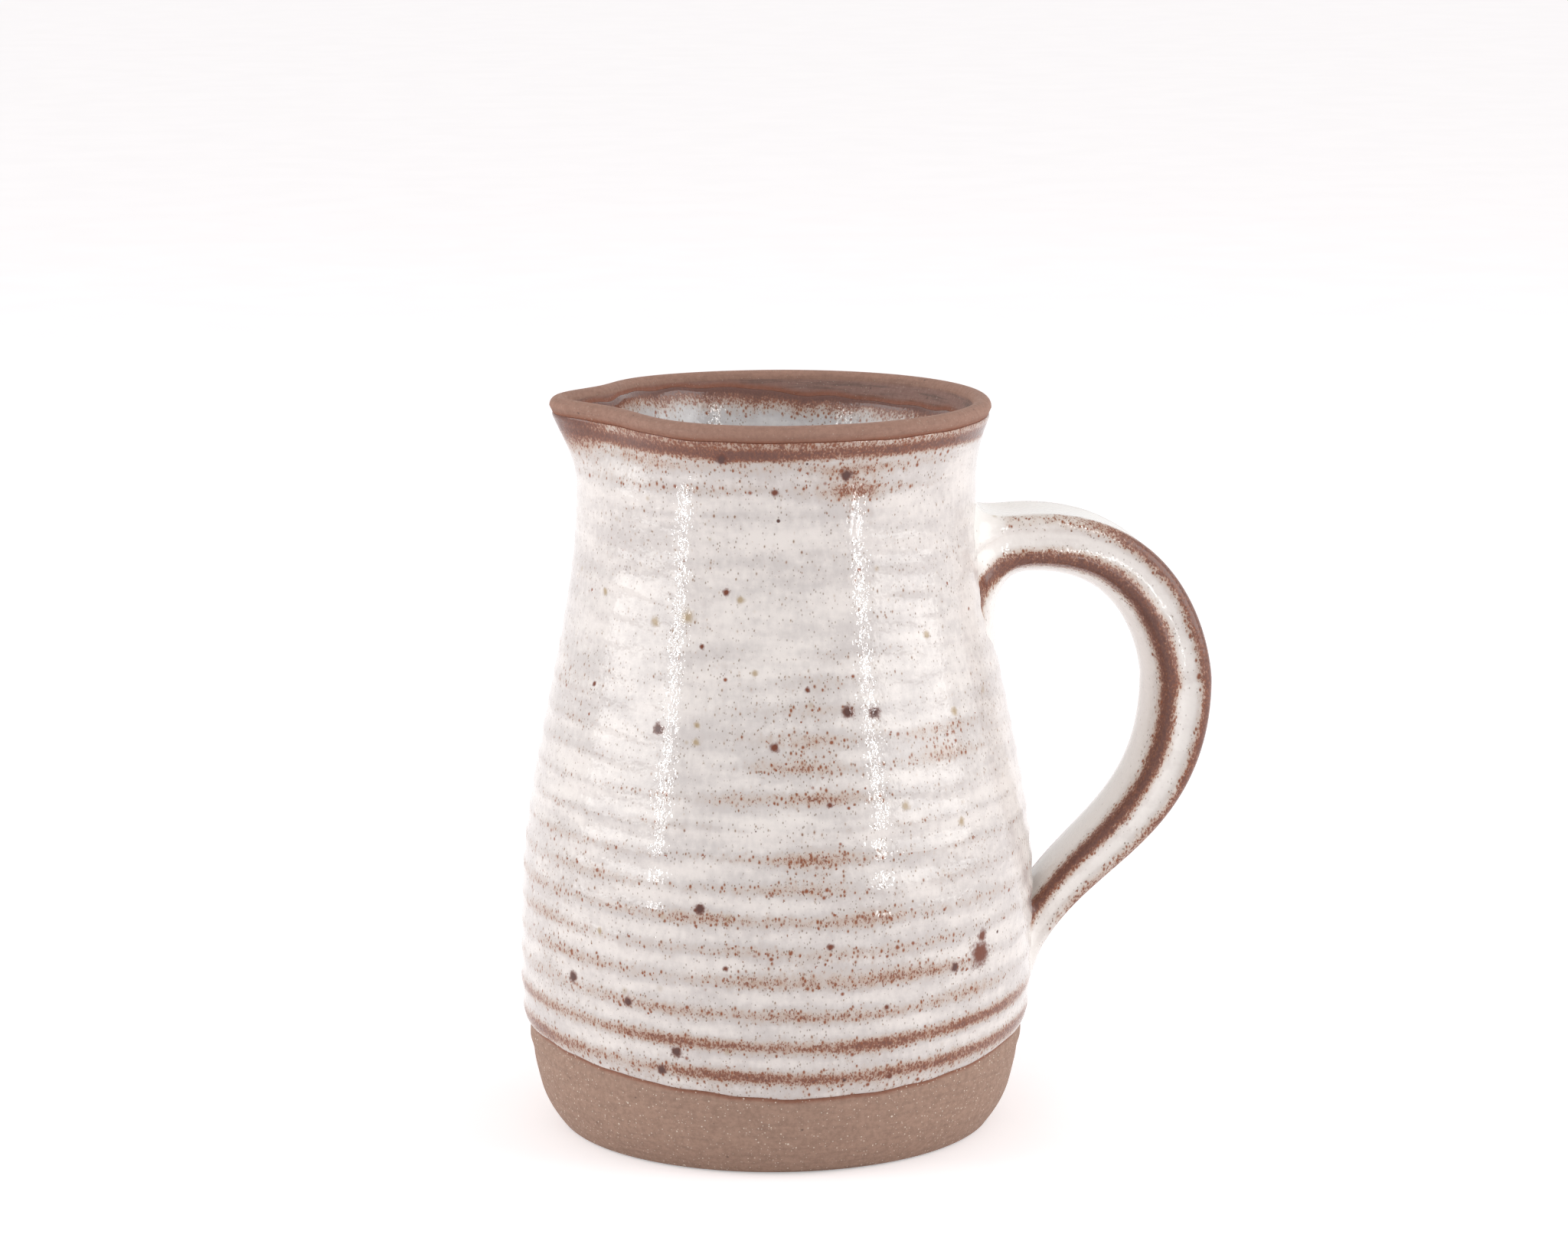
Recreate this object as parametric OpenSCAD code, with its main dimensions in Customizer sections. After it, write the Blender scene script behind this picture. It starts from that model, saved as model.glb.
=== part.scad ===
// Wheel-thrown stoneware milk pitcher with a pinched spout and a pulled strap handle.
// Origin at the centre of the flat base, +Z up, handle towards +X, spout towards -X. Millimetres.

/* [Body heights] */
// Height of the bevelled foot
bevel_rise = 9; // [6:0.5:12]
// Height from the bevel to the widest level of the belly
belly_rise = 25; // [18:1:34]
// Height from the widest level to the shoulder
shoulder_rise = 30; // [20:1:40]
// Height from the shoulder to the narrow neck
neck_rise = 78; // [68:1:90]
// Height from the neck to the top of the rim
lip_rise = 18; // [14:0.5:24]

/* [Body diameters] */
// Diameter where the wall leaves the base
foot_d = 95; // [88:0.5:99]
// Diameter at the top of the bevel
bevel_d = 104; // [100:0.2:108]
// Diameter at the widest level
belly_d = 111.6; // [108:0.2:120]
// Diameter at the shoulder
shoulder_d = 110; // [104:0.5:116]
// Diameter at the neck
neck_d = 85.6; // [80:0.2:92]
// Outer diameter where the rim starts to round over
rim_d = 93.2; // [88:0.2:100]

/* [Clay] */
// Thickness of the wall at the foot
wall_foot = 6; // [4.5:0.25:8]
// Thickness of the wall at the rim, which is rounded over
wall_rim = 4; // [3:0.25:5]
// Thickness of the floor
floor_thick = 7; // [5:0.5:9]
// Radius inside, between floor and wall
floor_fillet = 12; // [8:1:16]
// Radius of the lower edge of the foot
foot_round = 2; // [1:0.25:3]

/* [Throwing rings] */
// Height of one ring, from crest to crest
ring_pitch = 6.2; // [4.5:0.1:10]
// Depth of the hollow between two crests
ring_depth = 0.45; // [0.1:0.05:0.8]

/* [Spout] */
// How far the tip is pulled out
spout_reach = 4; // [2:0.25:8]
// How far the tip is lifted
spout_lift = 1.3; // [0:0.1:3]
// Depth of the two finger dents beside the tip
pinch_depth = 4.4; // [2:0.2:6]
// Angle from the tip to the middle of a dent
pinch_angle = 28; // [22:1:36]
// Depth of the finger line under the pinched half of the lip
finger_line = 0.25; // [0.2:0.05:0.4]

/* [Handle] */
// Thickness of the strap at its grip
strap_thick = 12.8; // [10:0.2:15]
// Width of the strap across the handle
strap_width = 22; // [18:0.5:27]
// Thickness of the strap where it runs out on the wall
tail_thick = 6.9; // [6:0.1:9]
// Width of the strap where it runs out on the wall
tail_width = 18; // [15:0.5:22]
// Radius of the four ridges along the grip
ridge_round = 2.2; // [1.6:0.1:2.4]
// Radius of the ridges where the tail is pressed onto the wall
tail_round = 1.4; // [1:0.1:1.8]
// Depth of the hollow between the ridges, on each side of the strap
side_groove = 0.8; // [0:0.1:1.2]
// Depth of the hollow along the outer face of the strap
thumb_groove = 0.4; // [0:0.1:1]
// Slope at which the rounded inner face of the grip leaves its ridges, in degrees
crown_slope = 30; // [10:1:34]
// Slope at which the pressed outer face of the tail leaves its ridges, in degrees
tail_slope = 24; // [16:1:28]
// Reach of the strap's middle line beyond the belly
handle_reach = 32.4; // [28:0.2:40]
// Drop from the neck to the middle of the upper root
root_drop = 16; // [15:0.5:22]
// Drop from the neck to the outermost point of the grip
grip_drop = 46; // [40:1:54]
// Drop from the belly's widest level to the end of the tail
tail_drop = 3.5; // [0:0.5:6]
// Flare of the upper root where it is smoothed onto the wall
root_flare = 3; // [1.5:0.25:4]
// Length over which that flare dies away
flare_length = 13; // [9:0.5:16]

/* [Slip and glaze] */
// Thickness of the slip that sticks the handle to the wall
slip_thick = 0.6; // [0.4:0.1:1]
// Thickness of the glaze on the crests
glaze_thick = 0.5; // [0.3:0.05:0.8]
// Height of the bare clay band above the base
bare_foot = 17; // [13:0.5:22]
// Drop from the rim to the outer edge of the glaze
bare_rim_out = 4.5; // [3:0.25:7]
// Drop from the rim to the inner edge of the glaze
bare_rim_in = 7; // [4:0.25:9]

/* [Hidden] */
$fn = 160;

CLAY = "#8c7365";
SLIP = "#6f584c";
GLAZE = "#e3ddd3";
LINER = "#cfc9c1";

// Levels of the outline, from the base up
foot_level = foot_round * (1 - cos(45));
bevel_level = bevel_rise;
belly_level = bevel_level + belly_rise;
shoulder_level = belly_level + shoulder_rise;
neck_level = shoulder_level + neck_rise;
height = neck_level + lip_rise;
rim_round = wall_rim / 2;
rim_level = height - rim_round;

// The outer wall is a smooth curve through these levels and radii
knots = [[foot_level, foot_d / 2], [bevel_level, bevel_d / 2], [belly_level, belly_d / 2],
         [shoulder_level, shoulder_d / 2], [neck_level, neck_d / 2], [rim_level, rim_d / 2]];
BELLY = 2;
NECK = 4;
RIM = len(knots) - 1;

function chord(i, j) = (knots[j][1] - knots[i][1]) / (knots[j][0] - knots[i][0]);

// The wall stands upright at the belly and at the neck, and ends in a parabola at foot and rim
function lean(i) =
    i == BELLY || i == NECK ? 0 :
    i == 0 ? 2 * chord(0, 1) - lean(1) :
    i == RIM ? 2 * chord(NECK, RIM) :
    chord(i - 1, i + 1);

function hermite(i, t, rise) =
    (2 * pow(t, 3) - 3 * t * t + 1) * knots[i][1] + (pow(t, 3) - 2 * t * t + t) * rise * lean(i)
    + (3 * t * t - 2 * pow(t, 3)) * knots[i + 1][1] + (pow(t, 3) - t * t) * rise * lean(i + 1);

function knot_below(z) = len([for (i = [1 : RIM - 1]) if (z >= knots[i][0]) i]);

function curve_r(z) =
    let (i = knot_below(z), rise = knots[i + 1][0] - knots[i][0])
    hermite(i, (z - knots[i][0]) / rise, rise);

// Throwing rings: finger hollows between sharp crests, from the bare foot up to the neck
ring_count = round((neck_level - bare_foot) / ring_pitch);
ring_rise = (neck_level - bare_foot) / ring_count;
ring_steps = 4;

function ring_hollow(z) =
    z <= bare_foot || z >= neck_level ? 0 :
    let (u = (z - bare_foot) / ring_rise)
    ring_depth * sin(180 * (u - floor(u + 0.0001)));

// Glaze fills part of each hollow, so its own surface is a little smoother than the clay
glaze_fill = 0.3;

function clay_r(z) = curve_r(z) - ring_hollow(z);
function coat_r(z) = curve_r(z) - (1 - glaze_fill) * ring_hollow(z) + glaze_thick;
function wall_at(z) = wall_foot + (wall_rim - wall_foot) * z / rim_level;
function inside_r(z) = curve_r(z) - wall_at(z);

function levels(from, to, steps) = [for (i = [0 : steps]) from + (to - from) * i / steps];
function all_but_last(list) = [for (i = [0 : len(list) - 2]) list[i]];
function reversed(list) = [for (i = [len(list) - 1 : -1 : 0]) list[i]];

// Levels at which the surfaces have an edge loop
foot_levels = concat(all_but_last(levels(foot_level, bevel_level, 4)), levels(bevel_level, bare_foot, 4));
ring_levels = levels(bare_foot, neck_level, ring_count * ring_steps);
glaze_top = height - bare_rim_out;
liner_top = height - bare_rim_in;
outer_glaze_lip = levels(neck_level, glaze_top, 6);
liner_glaze_lip = levels(neck_level, liner_top, 6);
outer_lip = concat(all_but_last(outer_glaze_lip), levels(glaze_top, rim_level, 2));
inner_lip = concat(all_but_last(liner_glaze_lip), levels(liner_top, rim_level, 2));
inside_steps = 14;

function clay_at(z) = [clay_r(z), z];
function coat_at(z) = [coat_r(z), z];
function inside_at(z) = [inside_r(z), z];
function liner_at(z) = [inside_r(z) - glaze_thick, z];

foot_arc = [for (a = [-90 : 15 : -60]) [foot_d / 2 - foot_round * cos(45) + foot_round * cos(a),
                                        foot_round + foot_round * sin(a)]];

// Half round over the rim, between the outer and the inner wall
rim_arc = [for (a = [30 : 30 : 150]) [curve_r(rim_level) - rim_round + rim_round * cos(a),
                                      rim_level + rim_round * sin(a)]];

// Floor inside: a quarter round of the given radius that meets the wall at the fillet's level
function hollow(inset) =
    let (floor_z = floor_thick + inset,
         turn_z = floor_thick + floor_fillet,
         turn_r = inside_r(turn_z) - inset,
         reach = floor_fillet - inset)
    concat([for (z = reversed(levels(turn_z, neck_level, inside_steps))) [inside_r(z) - inset, z]],
           [for (a = [-15 : -15 : -90]) [turn_r - reach + reach * cos(a), turn_z + reach * sin(a)]],
           [[0, floor_z]]);

// Outline of the clay wall from the centre of the base round over the rim to the centre of the floor
outside_outline = concat(foot_arc, [for (z = all_but_last(foot_levels)) clay_at(z)],
                         [for (z = all_but_last(ring_levels)) clay_at(z)],
                         [for (z = outer_lip) clay_at(z)]);
wall_outline = concat([[0, 0]], outside_outline, rim_arc,
                      [for (i = [len(inner_lip) - 1 : -1 : 1]) inside_at(inner_lip[i])],
                      hollow(0));

// Spout: the front half of the lip is pushed in and out by angle from the tip
tip_spread = 14.6;
pinch_spread = 21;
lift_spread = 43;
line_end = 20;
spout_half = 22;
spout_bunch = 1.25;
spout_angles = [for (i = [-spout_half : spout_half])
                90 * sign(i) * pow(abs(i) / spout_half, spout_bunch)];

function bump(angle, middle, spread) = exp(-pow((angle - middle) / spread, 2));
function fade(angle) = 1 - pow(abs(angle) / 90, 6);
function push(angle) = fade(angle) * (spout_reach * bump(angle, 0, tip_spread)
    - pinch_depth * (bump(angle, pinch_angle, pinch_spread) + bump(angle, -pinch_angle, pinch_spread)));
function lift(angle) = fade(angle) * spout_lift * bump(angle, 0, lift_spread);
function line_in(angle) = finger_line * (1 - pow(abs(angle) / 90, line_end));
function ease(z) =
    let (t = min(1, (z - neck_level) / (rim_level - neck_level)))
    t * t * (3 - 2 * t);

// Point of an outline, carried round to an angle from the tip and pushed by the spout there
function spout_point(p, angle) =
    let (e = ease(p[1]), r = p[0] + e * push(angle) - (1 - e) * line_in(angle))
    [-r * cos(angle), -r * sin(angle), p[1] + e * lift(angle)];

// Loft of a closed loop round the front half: side_a runs up, crown goes over, side_b runs up too
module lip_loft(side_a, crown, side_b) {
    loop = concat(side_a, crown, reversed(side_b));
    count = len(loop);
    last = len(spout_angles) - 1;
    top = len(side_a) - 1;
    skin = [for (s = [0 : last - 1], i = [0 : count - 1])
            let (a = s * count + i, b = s * count + (i + 1) % count)
            each [[a, b, a + count], [b, b + count, a + count]]];
    ladder = [for (i = [0 : 1 : top - 1])
              each [[i, count - 1 - i, i + 1], [i + 1, count - 1 - i, count - 2 - i]]];
    fan = [for (i = [top + 1 : 1 : top + len(crown)]) [top, i + 1, i]];
    cap = concat(ladder, fan);
    far_cap = [for (f = cap) [f[0] + last * count, f[2] + last * count, f[1] + last * count]];
    polyhedron([for (angle = spout_angles, p = loop) spout_point(p, angle)], concat(skin, cap, far_cap));
}

// Space in front of the pitcher's middle and above the neck, which the spout's loft fills instead
module front_of_lip() {
    room = belly_d;
    translate([-room, -room, neck_level])
        cube([room, 2 * room, room]);
}

// Solid inside the clay's outer wall, grown outwards
module wall_core(grow) {
    rotate_extrude()
        polygon(concat([[0, 0]], [for (p = outside_outline) [p[0] + grow, p[1]]], [[0, rim_level]]));
}

// Layer on the outer wall between two levels of the ring zone
module wall_layer(zs, thick) {
    rotate_extrude()
        polygon(concat([for (z = zs) [clay_r(z) + thick, z]], [for (z = reversed(zs)) clay_at(z)]));
}

// Handle: two curves in the XZ plane, from the upper root over the grip to the tail
root_level = neck_level - root_drop;
grip_level = neck_level - grip_drop;
tail_level = belly_level - tail_drop;
root_angle = 12;
tail_sink = 3.5;
root_at = [curve_r(root_level), root_level];
grip_at = [belly_d / 2 + handle_reach, grip_level];
tail_at = [curve_r(tail_level) - tail_sink, tail_level];
root_way = [cos(root_angle), sin(root_angle)];

// The tail runs on down inside the wall and ends under this much of its clay
tail_run = 10.6;
tail_cover = 1.7;
tail_end_level = tail_level - tail_run;
tail_end = [curve_r(tail_end_level) - tail_cover - tail_thick / 2, tail_end_level];
tail_way = (tail_end - tail_at) / norm(tail_end - tail_at);

// How far each curve's control points stand off, as shares of the spans they bridge
root_pull = 0.94;
over_pull = 0.1;
under_pull = 0.555;
tail_pull = 0.46;
over_span = root_level - grip_level;
under_span = grip_level - tail_level;
over_curve = [root_at, root_at + root_pull * (grip_at[0] - root_at[0]) * root_way,
              grip_at + [0, over_pull * over_span], grip_at];
under_curve = [grip_at, grip_at - [0, under_pull * under_span],
               tail_at - tail_pull * under_span * tail_way, tail_at];

function bezier(c, t) =
    pow(1 - t, 3) * c[0] + 3 * t * pow(1 - t, 2) * c[1] + 3 * t * t * (1 - t) * c[2] + pow(t, 3) * c[3];
function bezier_way(c, t) =
    let (v = pow(1 - t, 2) * (c[1] - c[0]) + 2 * t * (1 - t) * (c[2] - c[1]) + t * t * (c[3] - c[2]))
    v / norm(v);

// The upper root runs on inside the wall, past where the wall curves away at the strap's edges,
// and its flare keeps growing there
bury_margin = 1;
buried_flare = 2 * root_flare;
root_half = strap_width / 2 + buried_flare;
root_bury = root_at[0] - sqrt(pow(root_at[0], 2) - pow(root_half, 2))
    + (strap_thick / 2 + buried_flare) * sin(root_angle) + bury_margin;

// Stations along the handle: place, direction, share of the way from grip to tail, and flare
over_steps = 18;
under_steps = 16;
over_bunch = 1.4;
last_station = over_steps + under_steps + 2;

function flare(p) = root_flare * pow(max(0, 1 - norm(p - root_at) / flare_length), 2);
function over_station(t) =
    let (p = bezier(over_curve, t))
    [p, bezier_way(over_curve, t), 0, flare(p)];
function under_station(t) = [bezier(under_curve, t), bezier_way(under_curve, t), t, 0];

stations = concat([[root_at - root_bury * root_way, root_way, 0, buried_flare]],
                  [for (i = [0 : over_steps]) over_station(pow(i / over_steps, over_bunch))],
                  [for (i = [1 : under_steps]) under_station(i / under_steps)],
                  [[tail_end, tail_way, 1, 0]]);

// Section of the strap, grown outwards: four round ridges with hollow sides between them.
// The grip has a crowned inner face and a hollow outer one, and the pressed tail the other way round.
function blend(grip, tail, share) = grip + (tail - grip) * share;
function ridge(along, across, from, to, round) =
    [for (a = levels(from, to, 3)) [along + round * cos(a), across + round * sin(a)]];
function face(from, to, sag) =
    [for (f = [0.25 : 0.25 : 0.75]) from + (to - from) * f + 4 * f * (1 - f) * sag];
function section(share, flare, grow) =
    let (spread = flare + grow,
         r = blend(ridge_round, tail_round, share) + spread,
         t = blend(strap_thick, tail_thick, share) / 2 + spread,
         w = blend(strap_width, tail_width, share) / 2 + spread,
         b = w - r,
         hollow = (1 - share) * (1 - flare / buried_flare),
         out_slope = tail_slope * share,
         out_span = b + r * sin(out_slope),
         out_crown = out_span * tan(out_slope) / 2,
         out_mid = t - out_crown - r * cos(out_slope),
         in_slope = crown_slope * (1 - share),
         in_span = b + r * sin(in_slope),
         in_crown = in_span * tan(in_slope) / 2,
         in_mid = in_crown + r * cos(in_slope) - t,
         side_sag = [0, side_groove * hollow],
         out_sag = [out_crown - thumb_groove * hollow, 0])
    concat(ridge(out_mid, b, out_slope, 90, r), face([out_mid, w], [in_mid, w], -side_sag),
           ridge(in_mid, b, 90, 180 - in_slope, r),
           face([in_crown - t, in_span], [in_crown - t, -in_span], [-in_crown, 0]),
           ridge(in_mid, -b, 180 + in_slope, 270, r), face([in_mid, -w], [out_mid, -w], side_sag),
           ridge(out_mid, -b, 270, 360 - out_slope, r),
           face([t - out_crown, -out_span], [t - out_crown, out_span], out_sag));

// Point of a section on the path: out is square to the path, away from the body
function strap_point(s, p) =
    let (way = s[1], out = [-way[1], way[0]])
    [s[0][0] + p[0] * out[0], p[1], s[0][1] + p[0] * out[1]];

// Sweep of the strap between two stations, grown outwards for the glaze
module strap(grow, first, last) {
    used = [for (i = [first : last]) stations[i]];
    rings = [for (s = used) [for (p = section(s[2], s[3], grow)) strap_point(s, p)]];
    count = len(rings[0]);
    ends = len(used) - 1;
    middle = len(used) * count;
    skin = [for (s = [0 : ends - 1], i = [0 : count - 1])
            let (a = s * count + i, b = s * count + (i + 1) % count)
            each [[a, b, a + count], [b, b + count, a + count]]];
    near_cap = [for (i = [0 : count - 1]) [middle, (i + 1) % count, i]];
    far_cap = [for (i = [0 : count - 1]) [middle + 1, ends * count + i, ends * count + (i + 1) % count]];
    centres = [for (s = [used[0], used[ends]]) strap_point(s, [0, 0])];
    polyhedron(concat([for (r = rings) each r], centres), concat(skin, near_cap, far_cap));
}

root_last = 9;
tail_first = last_station - 9;

module upper_root(grow) {
    strap(grow, 0, root_last);
}

module lower_root(grow) {
    strap(grow, tail_first, last_station);
}

module thrown_body() {
    color(CLAY) {
        difference() {
            rotate_extrude()
                polygon(wall_outline);
            front_of_lip();
        }
        lip_loft([for (z = outer_lip) clay_at(z)], rim_arc, [for (z = inner_lip) inside_at(z)]);
    }
}

module pulled_handle() {
    color(CLAY)
        difference() {
            strap(0, 0, last_station);
            wall_core(slip_thick);
        }
}

module upper_slip_joint() {
    color(SLIP)
        intersection() {
            upper_root(0);
            wall_layer([for (z = ring_levels) if (z > grip_level) z], slip_thick);
        }
}

module lower_slip_joint() {
    color(SLIP)
        intersection() {
            lower_root(0);
            wall_layer([for (z = ring_levels) if (z < grip_level) z], slip_thick);
        }
}

module liner_glaze() {
    lip = [for (i = [1 : len(liner_glaze_lip) - 1]) liner_glaze_lip[i]];
    color(LINER) {
        difference() {
            rotate_extrude()
                polygon(concat(reversed(hollow(glaze_thick)), [for (z = lip) liner_at(z)],
                               [for (z = reversed(lip)) inside_at(z)], hollow(0)));
            front_of_lip();
        }
        lip_loft([for (z = liner_glaze_lip) inside_at(z)], [], [for (z = liner_glaze_lip) liner_at(z)]);
    }
}

module outer_glaze() {
    zs = concat(all_but_last(ring_levels), outer_glaze_lip);
    color(GLAZE)
        difference() {
            union() {
                difference() {
                    rotate_extrude()
                        polygon(concat([for (z = zs) coat_at(z)], [for (z = reversed(zs)) clay_at(z)]));
                    front_of_lip();
                }
                lip_loft([for (z = outer_glaze_lip) coat_at(z)], [],
                         [for (z = outer_glaze_lip) clay_at(z)]);
            }
            upper_root(glaze_thick);
            lower_root(glaze_thick);
        }
}

module handle_glaze() {
    color(GLAZE)
        difference() {
            strap(glaze_thick, 0, last_station);
            strap(0, 0, last_station);
            wall_core(0);
        }
}

thrown_body();
pulled_handle();
upper_slip_joint();
lower_slip_joint();
liner_glaze();
outer_glaze();
handle_glaze();
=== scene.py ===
# %% [markdown]
# # A stoneware milk pitcher
# This lesson dresses a thrown stoneware pitcher. The clay, the handle and the glazes already exist as
# plain solids at their real size. Here each one gets the surface that the fire gave it: throwing rings,
# a glaze that breaks brown on every edge, iron specks, and a bare, gritty foot and rim.
# All shapes are worked out in millimetres, as a potter measures, and a mesh turns them into metres.

# %% Load the frame
import math

import bpy
import numpy as np
from mathutils import Matrix, Vector


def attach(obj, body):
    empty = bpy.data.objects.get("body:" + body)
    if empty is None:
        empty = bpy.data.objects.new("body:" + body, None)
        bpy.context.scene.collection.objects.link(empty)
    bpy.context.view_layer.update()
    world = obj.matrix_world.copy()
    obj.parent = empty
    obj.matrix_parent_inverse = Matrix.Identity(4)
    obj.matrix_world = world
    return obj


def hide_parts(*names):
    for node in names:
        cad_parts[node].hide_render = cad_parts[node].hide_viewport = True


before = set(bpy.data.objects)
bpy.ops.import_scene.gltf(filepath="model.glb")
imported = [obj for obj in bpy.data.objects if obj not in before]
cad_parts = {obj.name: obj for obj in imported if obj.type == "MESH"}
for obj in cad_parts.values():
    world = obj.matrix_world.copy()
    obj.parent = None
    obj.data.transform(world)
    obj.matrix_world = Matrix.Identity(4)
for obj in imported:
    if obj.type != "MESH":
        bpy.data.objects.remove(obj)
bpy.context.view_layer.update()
MM = 0.001
print("nodes:", sorted(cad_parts))

# %% [markdown]
# ## The camera
# A product photographer stands well back and uses a long lens, so that the pitcher keeps its
# proportions. The place and the lens below were found by fitting the ellipses of the rim and of the
# foot. They could also be found by eye. The camera looks a little down and has a trace of roll.

# %% Camera
IMAGE_WIDTH = 2048
SENSOR = 36.0
FOCAL_PIXELS = 6114.6
CAMERA_DISTANCE, CAMERA_HEIGHT, CAMERA_OFFSET = 1004.2, 297.9, 1.54
CAMERA_TURN, CAMERA_PITCH, CAMERA_ROLL = -8.0, 10.636, -0.266


def turn(axis, degrees):
    """A 4 by 4 rotation about one axis."""
    return Matrix.Rotation(math.radians(degrees), 4, axis)


camera_data = bpy.data.cameras.new("camera")
camera_data.sensor_width = SENSOR
camera_data.lens = FOCAL_PIXELS / IMAGE_WIDTH * SENSOR
camera = bpy.data.objects.new("camera", camera_data)
bpy.context.scene.collection.objects.link(camera)
stand = Matrix.Translation(MM * Vector((CAMERA_OFFSET, -CAMERA_DISTANCE, CAMERA_HEIGHT)))
tilt = turn("X", 90 - CAMERA_PITCH) @ turn("Z", CAMERA_ROLL)
camera.matrix_world = turn("Z", CAMERA_TURN) @ stand @ tilt
bpy.context.scene.camera = camera
print("camera lens in mm:", round(camera_data.lens, 1))

# %% [markdown]
# ## The thrown wall
# A thrown wall is a smooth curve spun round an axis, then disturbed: the potter's finger leaves a spiral
# of rings, and two fingers pinch the spout out of the lip. Sculpting could do this too, but a formula
# keeps the glaze, the clay and the liner exactly parallel, so that each can be built as its own mesh.

# %% Outline of the wall
LEVELS = np.array([0.6, 9, 34, 64, 142, 158])
RADII = np.array([95, 104, 111.6, 110, 85.6, 93.2]) / 2
BELLY, NECK = 2, 4
NECK_LEVEL, RIM_LEVEL = LEVELS[NECK], LEVELS[-1]
WALL_FOOT, WALL_RIM = 6.0, 4.0


def wall_leans():
    """Slope of the wall at each level: upright at the belly and the neck, loose at both ends."""
    chord = np.diff(RADII) / np.diff(LEVELS)
    lean = np.zeros(len(LEVELS))
    lean[1:-1] = (RADII[2:] - RADII[:-2]) / (LEVELS[2:] - LEVELS[:-2])
    lean[[BELLY, NECK]] = 0
    lean[0] = 2 * chord[0] - lean[1]
    lean[-1] = 2 * chord[-1]
    return lean


LEANS = wall_leans()


def wall_r(z):
    """Radius of the clay at a level, before rings and spout."""
    z = np.clip(z, LEVELS[0], LEVELS[-1])
    i = np.clip(np.searchsorted(LEVELS, z, side="right") - 1, 0, len(LEVELS) - 2)
    rise = LEVELS[i + 1] - LEVELS[i]
    t = (z - LEVELS[i]) / rise
    start = (2 * t**3 - 3 * t**2 + 1) * RADII[i] + (t**3 - 2 * t**2 + t) * rise * LEANS[i]
    end = (3 * t**2 - 2 * t**3) * RADII[i + 1] + (t**3 - t**2) * rise * LEANS[i + 1]
    return start + end


def inside_r(z):
    """Radius of the hollow at a level."""
    return wall_r(z) - (WALL_FOOT + (WALL_RIM - WALL_FOOT) * z / RIM_LEVEL)


print("belly radius:", wall_r(LEVELS[BELLY]), "neck radius:", wall_r(NECK_LEVEL))


# %% Helpers for smooth variation
def smoothstep(low, high, x):
    """0 before low, 1 after high, and an S curve between them."""
    t = np.clip((x - low) / (high - low), 0, 1)
    return t * t * (3 - 2 * t)


def bump(x, middle, spread):
    """A bell curve of height 1."""
    return np.exp(-(((x - middle) / spread) ** 2))


def wander(angle, seed, lobes=(2, 3, 5, 8)):
    """A closed, uneven wave round the pot, within plus and minus one."""
    draw = np.random.default_rng(seed)
    waves = [np.sin(lobe * angle + draw.uniform(0, 2 * np.pi)) for lobe in lobes]
    return sum(waves) / len(lobes)


print("a step is", smoothstep(0, 1, 0.5), "at its middle, and a bump is", bump(0, 0, 1))

# %% [markdown]
# ## Throwing rings
# The rings are the groove that a fingertip leaves as the wall rises. They start wide at the foot and
# close up towards the neck, because the potter lifts more slowly near the top. Each could be a loop cut
# pulled inwards. The ring count below is a function of height instead. It is a whole number on every
# crest, so a crest is easy to find for the glaze as well.

# %% Throwing rings
FIRST_CREST = 22.9
RING_RISE, RING_SHRINK = 7.0, 0.043
RING_DEEP, RING_SHALLOW = 0.5, 0.16
RING_SWAY, FRONT = 1.5, math.radians(-88)
RING_WANDER = 0.4
RINGS_START, RINGS_FULL, RINGS_FADE, RINGS_END = 13.0, 20.0, 130.0, 141.0


def sway(angle):
    """How a line round a slightly oval pot climbs: 0 at the front and the back, 2 at the sides."""
    return 1 - np.cos(2 * (angle - FRONT))


def ring_count(z, angle):
    """Rings counted up the wall from the first crest."""
    z = z - RING_SWAY * smoothstep(100, 20, z) * sway(angle) - RING_WANDER * wander(angle, 3)
    root = np.sqrt(RING_RISE**2 - 4 * RING_SHRINK * (z - FIRST_CREST))
    return (RING_RISE - root) / (2 * RING_SHRINK)


def crest_away(z, angle):
    """Distance up or down the wall from the nearest crest."""
    count = ring_count(z, angle)
    return np.abs(count - np.round(count)) * RING_RISE


def ring_hollow(z, angle):
    """Depth of the finger's groove."""
    deep = RING_DEEP + (RING_SHALLOW - RING_DEEP) * smoothstep(25, 110, z)
    ends = smoothstep(RINGS_START, RINGS_FULL, z) * smoothstep(RINGS_END, RINGS_FADE, z)
    uneven = 1 + 0.3 * wander(angle + z / 25, 4)
    between = np.abs(np.sin(np.pi * ring_count(z, angle)))
    return deep * ends * uneven * (between + between**2) / 2


print("rings up to the neck:", ring_count(NECK_LEVEL, FRONT).round(1))

# %% [markdown]
# ## The spout
# To make a spout the potter supports the lip with two fingers and draws the clay between them outwards
# with a third. So the lip goes in at both sides of the tip and out at the tip. Angles here are measured
# from the tip. Proportional editing could pull the lip too, but the glazes have to follow it exactly.
# The foot was turned a little off the centre, which every part of the wall near it follows.

# %% Spout
SPOUT_REACH, SPOUT_LIFT = 4.0, 1.3
PINCH_DEPTH, PINCH_ANGLE = 4.4, 28.0
TIP_SPREAD, PINCH_SPREAD, LIFT_SPREAD = 14.6, 21.0, 43.0
SPOUT_END, SPOUT_FLATNESS = 90.0, 6
FOOT_SHIFT, SHIFT_FULL, SHIFT_END = -0.8, 10.0, 70.0


def from_tip(angle):
    """Angle from the spout's tip, in degrees, between -180 and 180."""
    return np.degrees((angle + 2 * np.pi) % (2 * np.pi)) - 180


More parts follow.
